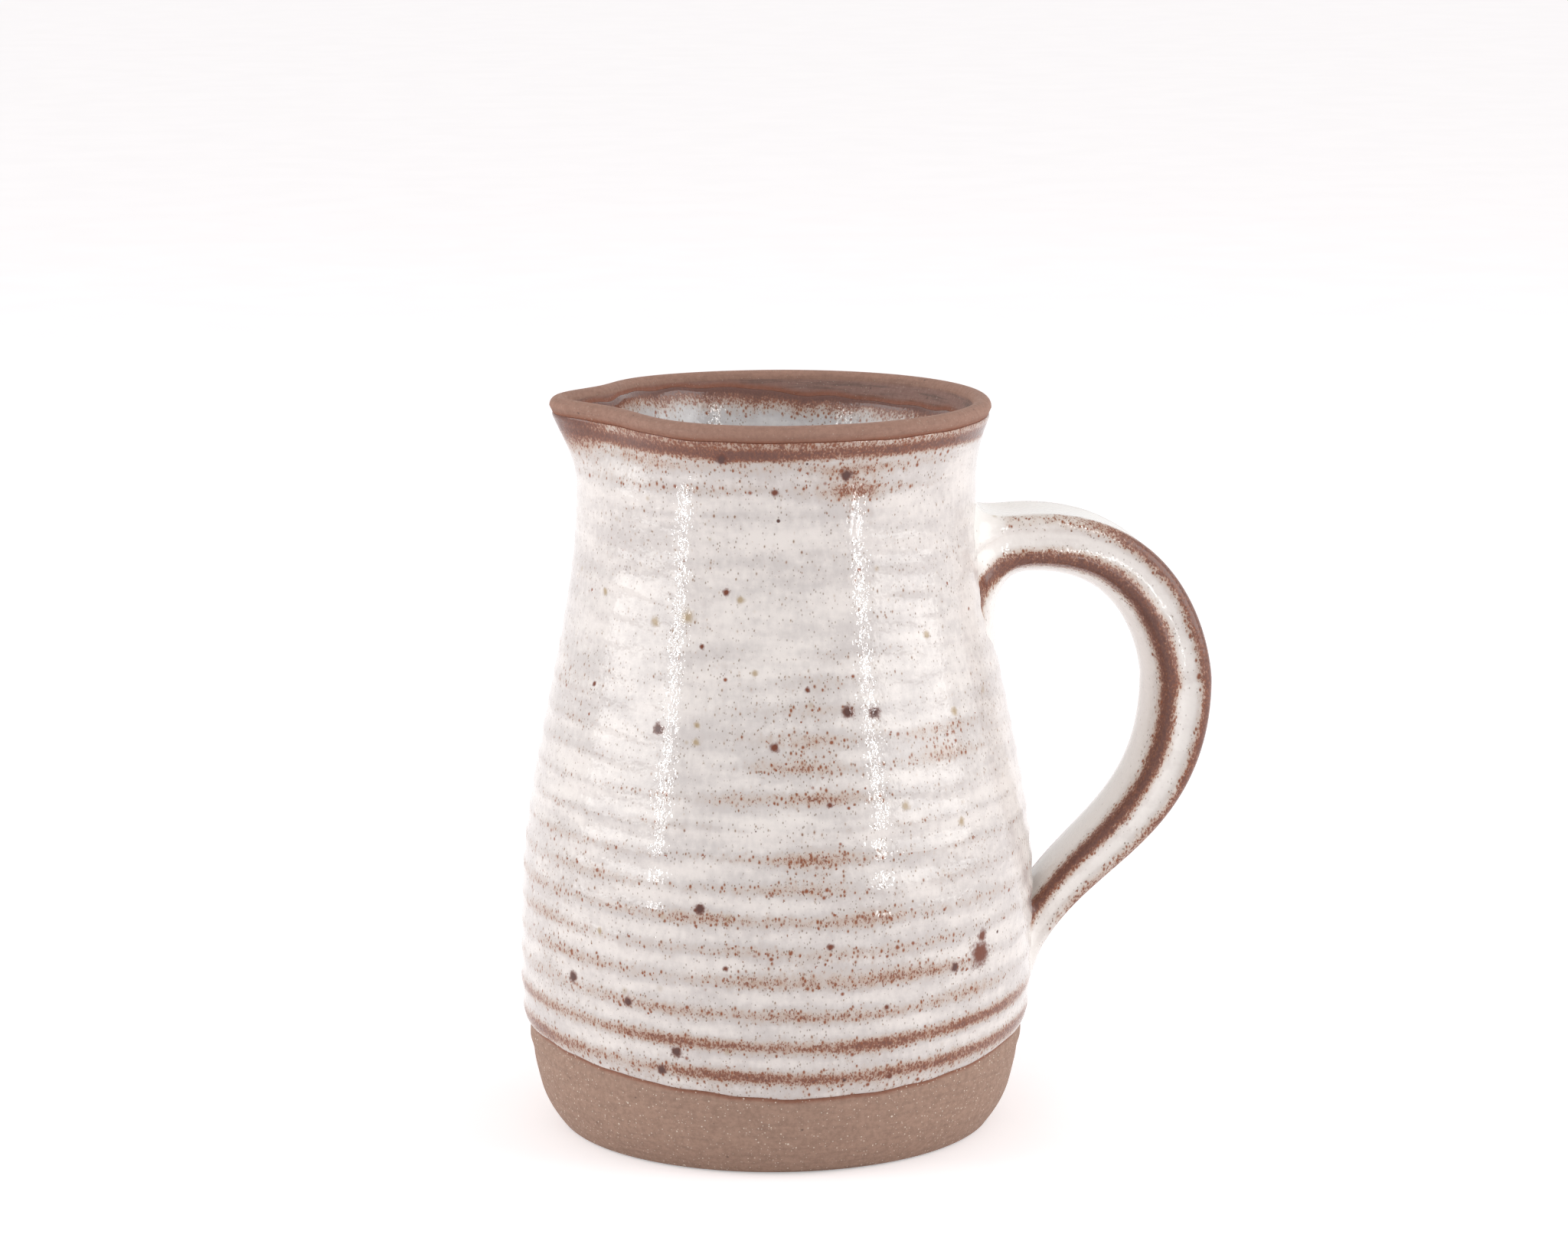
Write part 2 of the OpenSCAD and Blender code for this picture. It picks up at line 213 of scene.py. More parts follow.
def spout_fade(tip):
    """The pinch dies away a quarter turn from the tip."""
    return 1 - np.clip(np.abs(tip) / SPOUT_END, 0, 1) ** SPOUT_FLATNESS


def spout_push(tip):
    """How far the lip is moved outwards."""
    pinch = bump(tip, PINCH_ANGLE, PINCH_SPREAD) + bump(tip, -PINCH_ANGLE, PINCH_SPREAD)
    return spout_fade(tip) * (SPOUT_REACH * bump(tip, 0, TIP_SPREAD) - PINCH_DEPTH * pinch)


def axis_x(z):
    """Where the middle of the pot lies at a level."""
    return FOOT_SHIFT * smoothstep(SHIFT_END, SHIFT_FULL, z)


def pot_points(radius, z, angle):
    """Points of the pot for radii and levels carried round to an angle, with the spout's pinch."""
    tip = from_tip(angle)
    ease_in = smoothstep(NECK_LEVEL, RIM_LEVEL, z)
    r = radius + ease_in * spout_push(tip)
    lift = ease_in * spout_fade(tip) * SPOUT_LIFT * bump(tip, 0, LIFT_SPREAD)
    x = r * np.cos(angle) + axis_x(z)
    return np.stack(np.broadcast_arrays(x, r * np.sin(angle), z + lift), axis=-1)


print("the tip is pushed out by", round(float(spout_push(0.0)), 2), "mm")

# %% [markdown]
# ## From points to a mesh
# Every piece here is a grid of points: rows along the profile and columns round the pot or the strap.
# Modifiers on a curve could spin and sweep such grids, but they would carry no numbers of their own. One
# helper turns a grid into a smooth mesh and stores extra numbers on its points, such as where the glaze
# is thin. Shaders read those numbers with an Attribute node, which is how shape and colour stay together.

# %% Mesh helper
COLUMNS = 384
AROUND = np.arange(COLUMNS) * 2 * np.pi / COLUMNS


def grid_mesh(name, points, caps=(False, False), **layers):
    """A smooth mesh from rows of points that close round their columns. Caps close the end rows."""
    rows, columns = points.shape[:2]
    corner = np.arange(rows * columns).reshape(rows, columns)
    ahead = np.roll(corner, -1, axis=1)
    faces = np.stack([corner[:-1], ahead[:-1], ahead[1:], corner[1:]], axis=-1).reshape(-1, 4).tolist()
    verts = points.reshape(-1, 3)
    spread = {k: np.broadcast_to(v, (rows, columns)) for k, v in layers.items()}
    values = {k: np.array(v, float).ravel() for k, v in spread.items()}
    for row, wanted in zip((0, rows - 1), caps):
        if wanted:
            middle = len(verts)
            verts = np.vstack([verts, points[row].mean(axis=0)])
            values = {k: np.append(v, v[corner[row]].mean()) for k, v in values.items()}
            pairs = zip(corner[row], ahead[row])
            faces += [[middle, b, a] if row == 0 else [middle, a, b] for a, b in pairs]
    mesh = bpy.data.meshes.new(name)
    mesh.from_pydata((verts * MM).tolist(), [], faces)
    mesh.polygons.foreach_set("use_smooth", [True] * len(mesh.polygons))
    for layer, v in values.items():
        mesh.attributes.new(layer, "FLOAT", "POINT").data.foreach_set("value", v)
    mesh.update()
    piece = bpy.data.objects.new(name, mesh)
    bpy.context.scene.collection.objects.link(piece)
    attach(piece, "root")
    print(name, "has", len(mesh.vertices), "points")
    return piece


def steps(*stops):
    """A column of levels from (start, end, count) stretches that share their ends."""
    runs = [np.linspace(start, end, count, endpoint=False) for start, end, count in stops]
    return np.concatenate(runs + [[stops[-1][1]]])[:, None]


print("columns round the pot:", COLUMNS)

# %% [markdown]
# ## The edges of the glaze
# The pitcher was dipped upside down, so the glaze ends in a wandering line above the foot. It was wiped
# off the rim, and the liner was poured in and out, which leaves a wavy edge inside. These lines could be
# drawn as curves, but as functions of the angle the clay can use them too: iron gathers beside a glaze's
# edge and leaves a rusty halo there.

# %% Glaze lines
FOOT_LINE, FOOT_LINE_SWAY = 18.2, 2.6
RIM_LINE, LINER_LINE = 156.6, 155.1
LINER_TILT, LINER_TILT_AT = 1.2, math.radians(125)
LINER_WAVE, LINER_WAVE_AT = 1.2, math.radians(47)
FOOT_UNEVEN, RIM_UNEVEN, LINER_UNEVEN = 0.3, 0.25, 0.6


def foot_line(angle):
    """Level where the dipped glaze ends above the foot."""
    uneven = FOOT_UNEVEN * wander(angle, 11, (9, 14, 23, 31))
    return FOOT_LINE + FOOT_LINE_SWAY * sway(angle) + uneven


def rim_line(angle):
    """Level where the glaze was wiped off below the rim."""
    return RIM_LINE + RIM_UNEVEN * wander(angle, 12, (3, 7, 13, 19))


def liner_line(angle):
    """Upper edge of the poured liner."""
    tilt = LINER_TILT * np.cos(angle - LINER_TILT_AT)
    wave = LINER_WAVE * np.cos(2 * (angle - LINER_WAVE_AT))
    return LINER_LINE + tilt - wave + LINER_UNEVEN * wander(angle, 13, (5, 9, 14, 22))


print("foot line between", foot_line(AROUND).min().round(1), "and", foot_line(AROUND).max().round(1))

# %% [markdown]
# ## The clay body
# The clay shows at the rim, on the inside above the liner, on the foot and under the base. Its outline
# runs from the middle of the base, round the bevelled foot, up the wall, over the rounded rim and down to
# the floor inside. A Screw modifier would spin it, but the spout and the rings change it on the way
# round, so its rows are worked out at every angle. The base was cut from the wheel with a twisted wire,
# which leaves a fan of shell-shaped ridges.

# %% Outline of the clay
FOOT_ROUND, RIM_ROUND = 2.0, 2.0
FLOOR_THICK, FLOOR_FILLET = 7.0, 12.0
CLAY_UNEVEN = 0.18
BASE_MIDDLE = 1.0
HIDDEN_FROM, HIDDEN_TO, LINED_BELOW = 26, 138, 146
FOOT_FLAT = RADII[0] - FOOT_ROUND * math.cos(math.radians(45))
FLOOR_TURN = FLOOR_THICK + FLOOR_FILLET
FLOOR_FLAT = inside_r(FLOOR_TURN) - FLOOR_FILLET


def clay_r(z, angle):
    """Radius of the clay, rings included, with the slight unevenness of a turned foot."""
    uneven = CLAY_UNEVEN * wander(angle, 5) * smoothstep(60, 5, z)
    return wall_r(z) - ring_hollow(z, angle) + uneven


def arc(middle_r, middle_z, r, angles):
    """Radii and levels of an arc in the outline, the same all the way round the pot."""
    flat = 0 * AROUND
    a = np.radians(angles)
    return middle_r + r * np.cos(a) + flat, middle_z + r * np.sin(a) + flat


def clay_outline():
    """Rows of (radius, level) over the rim to the floor inside, with fewer rows where glaze hides them."""
    flat = 0 * AROUND
    base_r = steps((BASE_MIDDLE, FOOT_FLAT, 30))
    bare, coated = (LEVELS[0], HIDDEN_FROM, 60), (HIDDEN_FROM, HIDDEN_TO, 42)
    outer_z = steps(bare, coated, (HIDDEN_TO, RIM_LEVEL, 30))
    inner_z = steps((RIM_LEVEL, LINED_BELOW, 30), (LINED_BELOW, FLOOR_TURN, 16))
    floor_r = steps((FLOOR_FLAT - 3, BASE_MIDDLE, 12))
    base = [
        (base_r + flat, 0 * base_r + flat),
        arc(FOOT_FLAT, FOOT_ROUND, FOOT_ROUND, steps((-80, -50, 4))),
    ]
    outside = [
        (clay_r(outer_z, AROUND), outer_z + flat),
        arc(wall_r(RIM_LEVEL) - RIM_ROUND, RIM_LEVEL, RIM_ROUND, steps((12, 168, 14))),
    ]
    inside = [
        (inside_r(inner_z) + flat, inner_z + flat),
        arc(FLOOR_FLAT, FLOOR_TURN, FLOOR_FILLET, steps((-8, -90, 12))),
        (floor_r + flat, FLOOR_THICK + 0 * floor_r + flat),
    ]
    return base, outside, inside


print("the foot stands on a ring", round(2 * FOOT_FLAT, 1), "mm wide")


# %% Clay body
WIRE_PITCH, WIRE_DEPTH, WIRE_PULLED_FROM = 3.4, 0.18, 70.0
FLASH_FROM, FLASH_FULL = 60.0, 150.0
# Painted shade on the bare clay inside the mouth, full from just below the rim's top downwards.
INSIDE_SHADE_FROM, INSIDE_SHADE_FULL = RIM_LEVEL + 1.2, RIM_LEVEL - 0.6


def wire_marks(points):
    """Lifts the base along the shell-shaped ridges that the cutting wire leaves."""
    x, y, z = points[..., 0], points[..., 1], points[..., 2]
    fan = np.hypot(x + WIRE_PULLED_FROM, 0.8 * y) + 1.2 * np.sin(y / 11)
    inset = smoothstep(FOOT_FLAT - 1, FOOT_FLAT - 6, np.hypot(x, y))
    wave = (1 + np.sin(2 * np.pi * fan / WIRE_PITCH)) / 2
    on_base = z < 0.001
    points[..., 2] = np.where(on_base, WIRE_DEPTH * inset * wave, z)


def join(stretches):
    """Rows of radii and of levels, stacked."""
    return np.concatenate([r for r, z in stretches]), np.concatenate([z for r, z in stretches])


def halo_by(line, above, wide):
    """Rusty halo on the clay beside a glaze line."""
    return bump(clay_z, line(AROUND) + above, wide)


base, outside, inside = clay_outline()
clay_rows, clay_z = join(base + outside + inside)
inner_row = np.arange(len(clay_rows))[:, None] >= len(clay_rows) - len(join(inside)[0])
outer_halo = np.maximum(halo_by(foot_line, -0.25, 0.5), halo_by(rim_line, 0.2, 0.4))
clay_points = pot_points(clay_rows, clay_z, AROUND)
wire_marks(clay_points)
clay_body = grid_mesh(
    "clay_body",
    clay_points,
    caps=(True, True),
    flash=smoothstep(FLASH_FROM, FLASH_FULL, clay_z),
    # painted shade on the clay inside the mouth
    scorch=np.where(inner_row, smoothstep(INSIDE_SHADE_FROM, INSIDE_SHADE_FULL, clay_z), 0.0),
    halo=np.where(inner_row, halo_by(liner_line, 0.3, 0.7), outer_halo),
)
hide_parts("thrown_body")

# %% [markdown]
# ## The glaze on the wall
# Glaze is a thin glass. Its edge is rounded by surface tension, so the first and the last rows roll down
# into the clay. The rows follow the two glaze lines, because a coat cut from the wall by a boolean would
# have a ragged edge. Where the glaze is pulled thin it breaks brown: on ring crests, below the rim and
# along its edges. The attribute "thin" marks those places, and below zero it means an extra thick, creamy
# white. Crowded flecks are listed, as places where the clay under the glaze holds more iron.

# %% Where the wall's glaze is thin
RIM_BREAK, RIM_BREAK_WIDE, RIM_STRIP = 153.9, 1.6, 154.8
CREST_WIDE = 1.9
# The patch placed on the next line is painted light: the upper wall towards the handle is made whiter,
# where more light falls.
LIT_PATCH_AT, LIT_PATCH_LEVEL = 345.0, 118.0
NECK_WHITE_LEVEL = 126.0
FLECKED = [
    (-77.0, 145.5, 8.0, 5.0, 0.40), (-88.6, 94.0, 10.0, 3.0, 0.30), (-92.4, 89.3, 13.0, 2.8, 0.32),
    (-109.8, 82.0, 9.0, 2.8, 0.32), (-88.7, 82.6, 11.0, 2.8, 0.38), (-51.5, 91.0, 12.0, 6.0, 0.26),
    (-87.5, 70.4, 13.0, 2.6, 0.38), (-89.0, 65.2, 10.0, 2.4, 0.30), (-75.5, 58.5, 13.0, 3.0, 0.28),
    (-116.0, 58.0, 10.0, 3.0, 0.26), (-95.0, 45.6, 20.0, 2.8, 0.24), (-70.0, 45.0, 14.0, 2.8, 0.20),
    (-88.0, 104.0, 9.0, 3.0, 0.24), (-92.0, 99.0, 12.0, 2.6, 0.20), (-85.0, 110.0, 8.0, 2.6, 0.18),
    (-110.0, 37.5, 24.0, 2.0, 0.18), (60.0, 90.0, 14.0, 3.0, 0.26), (110.0, 62.0, 14.0, 2.5, 0.26),
    (80.0, 45.0, 18.0, 2.4, 0.22), (140.0, 100.0, 10.0, 2.4, 0.26), (95.0, 118.0, 9.0, 3.0, 0.26),
]


def flecked(z, angle):
    """Crowding of specks in the patches listed above: place, width, height and strength."""
    crowd = 0 * z + 0 * angle
    for degrees, level, wide, tall, much in FLECKED:
        turned = (angle - math.radians(degrees) + np.pi) % (2 * np.pi) - np.pi
        crowd = crowd + much * bump(turned * wall_r(level), 0, wide) * bump(z, level, tall)
    return crowd


def thin_on_wall(z, angle):
    """How thin the wall's glaze lies: 1 is brown, 0 white, below 0 creamy; whiter near the handle as
    painted light.
    """
    crest = bump(crest_away(z, angle), 0, CREST_WIDE)
    crest_strength = 0.20 + 0.09 * smoothstep(115, 55, z) + 0.30 * smoothstep(39, 31, z)
    patchy = 1 + 0.5 * wander(angle + z / 30, 22)
    thick = 0.14 - 0.10 * smoothstep(80, 48, z) + 0.1 * bump(z, NECK_WHITE_LEVEL, 15)
    # Painted light: a whiter patch on the upper wall towards the handle, where it is more lit.
    lit_patch = 0.32 * bump(np.degrees(angle), LIT_PATCH_AT, 30) * bump(z, LIT_PATCH_LEVEL, 32)
    below_rim = 0.22 * smoothstep(138, 151, z) * (1 + 0.6 * wander(angle, 25))
    thin = crest * crest_strength * patchy + flecked(z, angle) + below_rim - thick - lit_patch
    spout = 0.8 * smoothstep(38, 8, np.abs(from_tip(angle))) * smoothstep(145, 156, z)
    band_strength = 0.84 + 0.2 * wander(angle, 24)
    band = band_strength * bump(z, RIM_BREAK + 0.25 * wander(angle, 23), RIM_BREAK_WIDE)
    strip = 0.33 * smoothstep(RIM_STRIP - 0.4, RIM_STRIP + 0.4, z)
    return np.maximum.reduce(np.broadcast_arrays(thin, spout, band, strip))


print("crowded patches of flecks:", len(FLECKED))


# %% Glaze on the wall
GLAZE, GLAZE_FILL = 0.5, 0.3
EDGE_ROLL, SUNK = 0.9, 0.06
EDGE_STEPS = np.array([0, 0.015, 0.06, 0.16, 0.32, 0.55, 0.8, 1.1])
EDGE_DONE = 1.6
GLAZE_RUN, GLAZE_ROWS = 140.0, 236
GLAZE_SWELL = 0.06
FAR_FROM_EDGE = 9.0


def coat_r(z, angle):
    """Radius of the glaze's surface."""
    swell = GLAZE_SWELL * wander(angle + z / 9, 41, (7, 12, 19, 27)) * smoothstep(24, 40, z)
    return clay_r(z, angle) + GLAZE_FILL * ring_hollow(z, angle) + GLAZE + swell


def rolled(edge):
    """Share of the glaze's full thickness at a distance from its edge: a quarter circle."""
    return np.sqrt(1 - (1 - np.clip(edge / EDGE_ROLL, 0, 1)) ** 2)


run = np.concatenate([
    EDGE_STEPS,
    np.linspace(EDGE_DONE, GLAZE_RUN - EDGE_DONE, GLAZE_ROWS),
    GLAZE_RUN - EDGE_STEPS[::-1],
])
glaze_z = foot_line(AROUND) + run[:, None] / GLAZE_RUN * (rim_line(AROUND) - foot_line(AROUND))
edge = np.minimum(glaze_z - foot_line(AROUND), rim_line(AROUND) - glaze_z)
under = clay_r(glaze_z, AROUND) - SUNK
wall_glaze = grid_mesh(
    "wall_glaze",
    pot_points(under + rolled(edge) * (coat_r(glaze_z, AROUND) - under), glaze_z, AROUND),
    thin=thin_on_wall(glaze_z, AROUND),
    edge=np.clip(edge, 0, FAR_FROM_EDGE),
)
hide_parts("outer_glaze")

# %% [markdown]
# ## The liner
# The inside was glazed by pouring a cupful in and out. It could be an offset of the clay's inside, but its
# own rows let its edge wander and roll. It needs no rings, because the inside was smoothed with a rib. Near
# its upper edge the glaze is thin and rusty, and on the floor it settles into the potter's last spiral.

# %% Liner glaze
LINER_RUN, LINER_ROWS = 131.0, 130
SPIRAL_HEIGHT, SPIRAL_TIGHT = 0.15, 1.1


def liner_surface():
    """Rows of (radius, level) from the liner's edge to the floor's middle, and depths below its edge."""
    down = np.concatenate([EDGE_STEPS, np.linspace(EDGE_DONE, LINER_RUN, LINER_ROWS)])[:, None]
    z = liner_line(AROUND) - down / LINER_RUN * (liner_line(AROUND) - FLOOR_TURN)
    away = liner_line(AROUND) - z
    r = inside_r(z) + SUNK - rolled(away) * (GLAZE + SUNK)
    fillet = arc(FLOOR_FLAT, FLOOR_TURN, FLOOR_FILLET - GLAZE, steps((-6, -90, 14)))
    floor_r = steps((FLOOR_FLAT - 2, BASE_MIDDLE, 24))
    spiral = SPIRAL_HEIGHT * np.sin(floor_r * SPIRAL_TIGHT + AROUND)
    floor = (floor_r + 0 * AROUND, FLOOR_THICK + GLAZE + spiral)
    return *join([(r, z), fillet, floor]), away


liner_rows, liner_z, liner_away = liner_surface()
liner_edge = np.full(liner_rows.shape, FAR_FROM_EDGE)
liner_edge[: len(liner_away)] = np.clip(liner_away, 0, FAR_FROM_EDGE)
edge_rust = 0.85 * bump(liner_edge, 0, 1.3) + 0.36 * bump(liner_edge, 2.6, 2.2)
spout_rust = 0.75 * smoothstep(34, 14, np.abs(from_tip(AROUND))) * smoothstep(146, 155, liner_z)
overall = 0.08 + 0.1 * wander(AROUND, 33, (3, 7, 13, 24))
liner_coat = grid_mesh(
    "liner_coat",
    pot_points(liner_rows, liner_z, AROUND),
    caps=(False, True),
    thin=np.maximum(edge_rust, spout_rust) + overall,
    edge=liner_edge,
)
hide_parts("liner_glaze")

# %% [markdown]
# ## The pulled handle
# A handle is pulled like taffy from a lump of clay between wet fingers, which gives it ridges along its
# edges and hollows between them. It is then pressed onto the wall and smoothed over at the top, and
# thumbed down at the tail. A curve with a bevel object could sweep it, but the section changes along the
# path, from a fat grip to a thin tail. So both are formulas: two cubic curves, and ridges with faces
# between them.

# %% Path of the handle
ROOT_LEVEL, GRIP_LEVEL, TAIL_LEVEL = 126.0, 96.0, 30.5
HANDLE_REACH, TAIL_SINK = 32.4, 3.5
TAIL_RUN, TAIL_COVER = 10.6, 1.7
ROOT_ANGLE = math.radians(12)
ROOT_PULL, OVER_PULL, UNDER_PULL, TAIL_PULL = 0.94, 0.1, 0.555, 0.46
STRAP_THICK, TAIL_THICK = 12.8, 6.9


def unit(v):
    """Vectors scaled to length 1."""
    return v / np.linalg.norm(v, axis=-1, keepdims=True)


UP = np.array([0.0, 1.0])
root_at = np.array([wall_r(ROOT_LEVEL), ROOT_LEVEL])
grip_at = np.array([RADII[BELLY] + HANDLE_REACH, GRIP_LEVEL])
tail_at = np.array([wall_r(TAIL_LEVEL) - TAIL_SINK, TAIL_LEVEL])
tail_end_z = TAIL_LEVEL - TAIL_RUN
tail_end = np.array([wall_r(tail_end_z) - TAIL_COVER - TAIL_THICK / 2, tail_end_z])
root_way = np.array([math.cos(ROOT_ANGLE), math.sin(ROOT_ANGLE)])
tail_way = unit(tail_end - tail_at)
over_span, under_span = ROOT_LEVEL - GRIP_LEVEL, GRIP_LEVEL - TAIL_LEVEL
root_pull = ROOT_PULL * (grip_at[0] - root_at[0]) * root_way
over_curve = np.array([root_at, root_at + root_pull, grip_at + OVER_PULL * over_span * UP, grip_at])
tail_pull = TAIL_PULL * under_span * tail_way
under_curve = np.array([grip_at, grip_at - UNDER_PULL * under_span * UP, tail_at - tail_pull, tail_at])
print("handle reaches out to", round(float(grip_at[0] + STRAP_THICK / 2), 1), "mm")


# %% Along the path
BURIED = 40.0


def bezier(c, t):
    """Point of a cubic curve."""
    t = t[..., None]
    return (1 - t) ** 3 * c[0] + 3 * t * (1 - t) ** 2 * c[1] + 3 * t**2 * (1 - t) * c[2] + t**3 * c[3]


def bezier_way(c, t):
    """Direction of a cubic curve."""
    t = t[..., None]
    return unit((1 - t) ** 2 * (c[1] - c[0]) + 2 * t * (1 - t) * (c[2] - c[1]) + t**2 * (c[3] - c[2]))


def strap_path(s):
    """Place and direction along the handle: 0 at the upper root, 1 at the grip and 2 at the tail."""
    over, under = np.clip(s, 0, 1), np.clip(s - 1, 0, 1)
    first = (s < 1)[..., None]
    way = np.where(first, bezier_way(over_curve, over), bezier_way(under_curve, under))
    place = np.where(first, bezier(over_curve, over), bezier(under_curve, under))
    beyond = np.minimum(s, 0) + np.maximum(s - 2, 0)
    return place + BURIED * beyond[..., None] * way, way


print("radius and level at root, grip and tail:", strap_path(np.arange(3.0))[0].round(1).tolist())

# %% Section of the handle
STRAP_WIDTH, RIDGE_ROUND = 22.0, 2.2
TAIL_WIDTH, TAIL_ROUND = 18.0, 1.4
SIDE_GROOVE, THUMB_GROOVE = 0.9, 0.5
CROWN_SLOPE, TAIL_SLOPE = 30.0, 24.0
RIDGE_STEPS = np.linspace(0, 1, 9)
FACE_STEPS = np.linspace(0, 1, 16)[1:-1]
STRANDS = 4 * (len(RIDGE_STEPS) + len(FACE_STEPS))
RIDGE_MIDDLES = [len(RIDGE_STEPS) // 2 + i * (len(RIDGE_STEPS) + len(FACE_STEPS)) for i in range(4)]


def ridge(out, across, r, start, stop):
    """Round ridge of the section, between two angles."""
    a = np.radians(start + (stop - start) * RIDGE_STEPS)
    return out + r * np.cos(a), across + r * np.sin(a)


def face(out, across, sag_out, sag_across):
    """Face of the section between two ridges, which sags or swells in its middle."""
    f = FACE_STEPS
    belly = 4 * f * (1 - f)
    along_out = out[0] + (out[1] - out[0]) * f
    along_across = across[0] + (across[1] - across[0]) * f
    return along_out + belly * sag_out, along_across + belly * sag_across


def strap_section(share, grow):
    """Strands round the strap, as (out, across): share is 0 at the grip and 1 at the tail."""
    r = RIDGE_ROUND + (TAIL_ROUND - RIDGE_ROUND) * share + grow
    t = (STRAP_THICK + (TAIL_THICK - STRAP_THICK) * share) / 2 + grow
    w = (STRAP_WIDTH + (TAIL_WIDTH - STRAP_WIDTH) * share) / 2 + grow
    b = w - r
    out_slope, in_slope = TAIL_SLOPE * share, CROWN_SLOPE * (1 - share)
    out_span = b + r * np.sin(np.radians(out_slope))
    in_span = b + r * np.sin(np.radians(in_slope))
    out_crown = out_span * np.tan(np.radians(out_slope)) / 2
    in_crown = in_span * np.tan(np.radians(in_slope)) / 2
    out_mid = t - out_crown - r * np.cos(np.radians(out_slope))
    in_mid = in_crown + r * np.cos(np.radians(in_slope)) - t
    side, thumb = SIDE_GROOVE * (1 - share), THUMB_GROOVE * (1 - share)
    inner, outer = in_crown - t, t - out_crown
    stretches = [
        ridge(out_mid, b, r, out_slope, 90),
        face((out_mid, in_mid), (w, w), 0, -side),
        ridge(in_mid, b, r, 90, 180 - in_slope),
        face((inner, inner), (in_span, -in_span), -in_crown, 0),
        ridge(in_mid, -b, r, 180 + in_slope, 270),
        face((in_mid, out_mid), (-w, -w), 0, side),
        ridge(out_mid, -b, r, 270, 360 - out_slope),
        face((outer, outer), (-out_span, out_span), out_crown - thumb, 0),
    ]
    outs = np.concatenate([o + 0 * a for o, a in stretches], axis=1)
    acrosses = np.concatenate([a + 0 * o for o, a in stretches], axis=1)
    return outs, acrosses


print("strands round the strap:", STRANDS)

# %% Surface of the strap
SECTION_TABLE, TAPER_EASE = 64, 0.15


def section_at(share, grow):
    """Section of each strand at its own share, looked up between evenly spaced sections."""
    sections = strap_section(np.linspace(0, 1, SECTION_TABLE + 1)[:, None], grow)
    spot = np.clip(share * SECTION_TABLE, 0, SECTION_TABLE - 0.001)
    low = spot.astype(int)
    part = spot - low
    strand = np.broadcast_to(np.arange(STRANDS), share.shape)
    return [table[low, strand] * (1 - part) + table[low + 1, strand] * part for table in sections]


def strap_points(s, grow):
    """Points of the strap for an array of stations by strands."""
    place, way = strap_path(s)
    under = np.clip(s - 1, 0, 1)
    share = (np.hypot(under, TAPER_EASE) - TAPER_EASE) / (math.hypot(1, TAPER_EASE) - TAPER_EASE)
    out, across = section_at(share, grow)
    normal = np.stack([-way[..., 1], way[..., 0]], axis=-1)
    flat = place + out[..., None] * normal
    return np.stack([flat[..., 0], across, flat[..., 1]], axis=-1)


grip_section = strap_points(np.ones((1, STRANDS)), 0.0)
print("the grip is", np.ptp(grip_section[..., 1]).round(1), "mm wide")

# %% [markdown]
# ## Smoothing the handle onto the wall
# Each strand of the strap is followed until it meets the wall. Near the wall it is then spread along the
# wall, so that it lands flat, like clay smoothed with a thumb. A boolean and a bevel would make a similar
# fillet, but this way the mesh stays a clean grid and carries its attributes.

# %% Meeting the wall
SEARCH_PAST, SEARCH_STEPS = 0.3, 1041


def off_wall(points, thick):
    """Distance of points from the wall with that much glaze on it, and the wall's normal there."""
    z = points[..., 2]
    x, y = points[..., 0] - axis_x(z), points[..., 1]
    angle = np.arctan2(y, x)
    surface = coat_r(z, angle) - GLAZE + thick
    slope = wall_r(z + 0.5) - wall_r(z - 0.5)
    normal = unit(np.stack([np.cos(angle), np.sin(angle), -slope], axis=-1))
    return (np.hypot(x, y) - surface) / np.sqrt(1 + slope**2), normal


def landings(grow, thick):
    """Stations where each strand leaves the wall at the root and meets it again at the tail."""
    s = np.linspace(-SEARCH_PAST, 2 + SEARCH_PAST, SEARCH_STEPS)[:, None] + np.zeros(STRANDS)
    gap, _ = off_wall(strap_points(s, grow), thick)
    middle = len(s) // 2
    strand = np.arange(STRANDS)
    root = middle - 1 - np.argmax(gap[:middle][::-1] < 0, axis=0)
    tail = middle + np.argmax(gap[middle:] < 0, axis=0)

    def cross(a, b):
        start, end = gap[a, strand], gap[b, strand]
        return s[a, 0] + (s[b, 0] - s[a, 0]) * start / (start - end)

    return cross(root, root + 1), cross(tail - 1, tail)


root_stations, tail_stations = landings(0.0, 0.0)
print("strands leave the wall by station", root_stations.max().round(2))
print("strands meet it again from station", tail_stations.min().round(2))


# %% Handle surface
STATIONS, END_BUNCH = 300, 0.75
ROOT_HIGH, ROOT_UP, ROOT_SIDE, ROOT_DOWN = 10.0, 5.0, 5.0, 20.0
TAIL_HIGH, TAIL_UP, TAIL_SIDE, TAIL_DOWN = 3.0, 1.0, 1.5, 4.0
LANDING_SINK = 0.25
PULL_ROUNDS, PULL_CORE = 3, 0.6


def fillet_length(tangent, upper):
    """How far clay is smoothed along the wall, for the direction in which it goes."""
    climb = tangent[..., 2]
    up, down = np.clip(climb, 0, 1) ** 2, np.clip(-climb, 0, 1) ** 2
    root = ROOT_SIDE + (ROOT_UP - ROOT_SIDE) * up + (ROOT_DOWN - ROOT_SIDE) * down
    tail = TAIL_SIDE + (TAIL_UP - TAIL_SIDE) * up + (TAIL_DOWN - TAIL_SIDE) * down
    return np.where(upper, root, tail)


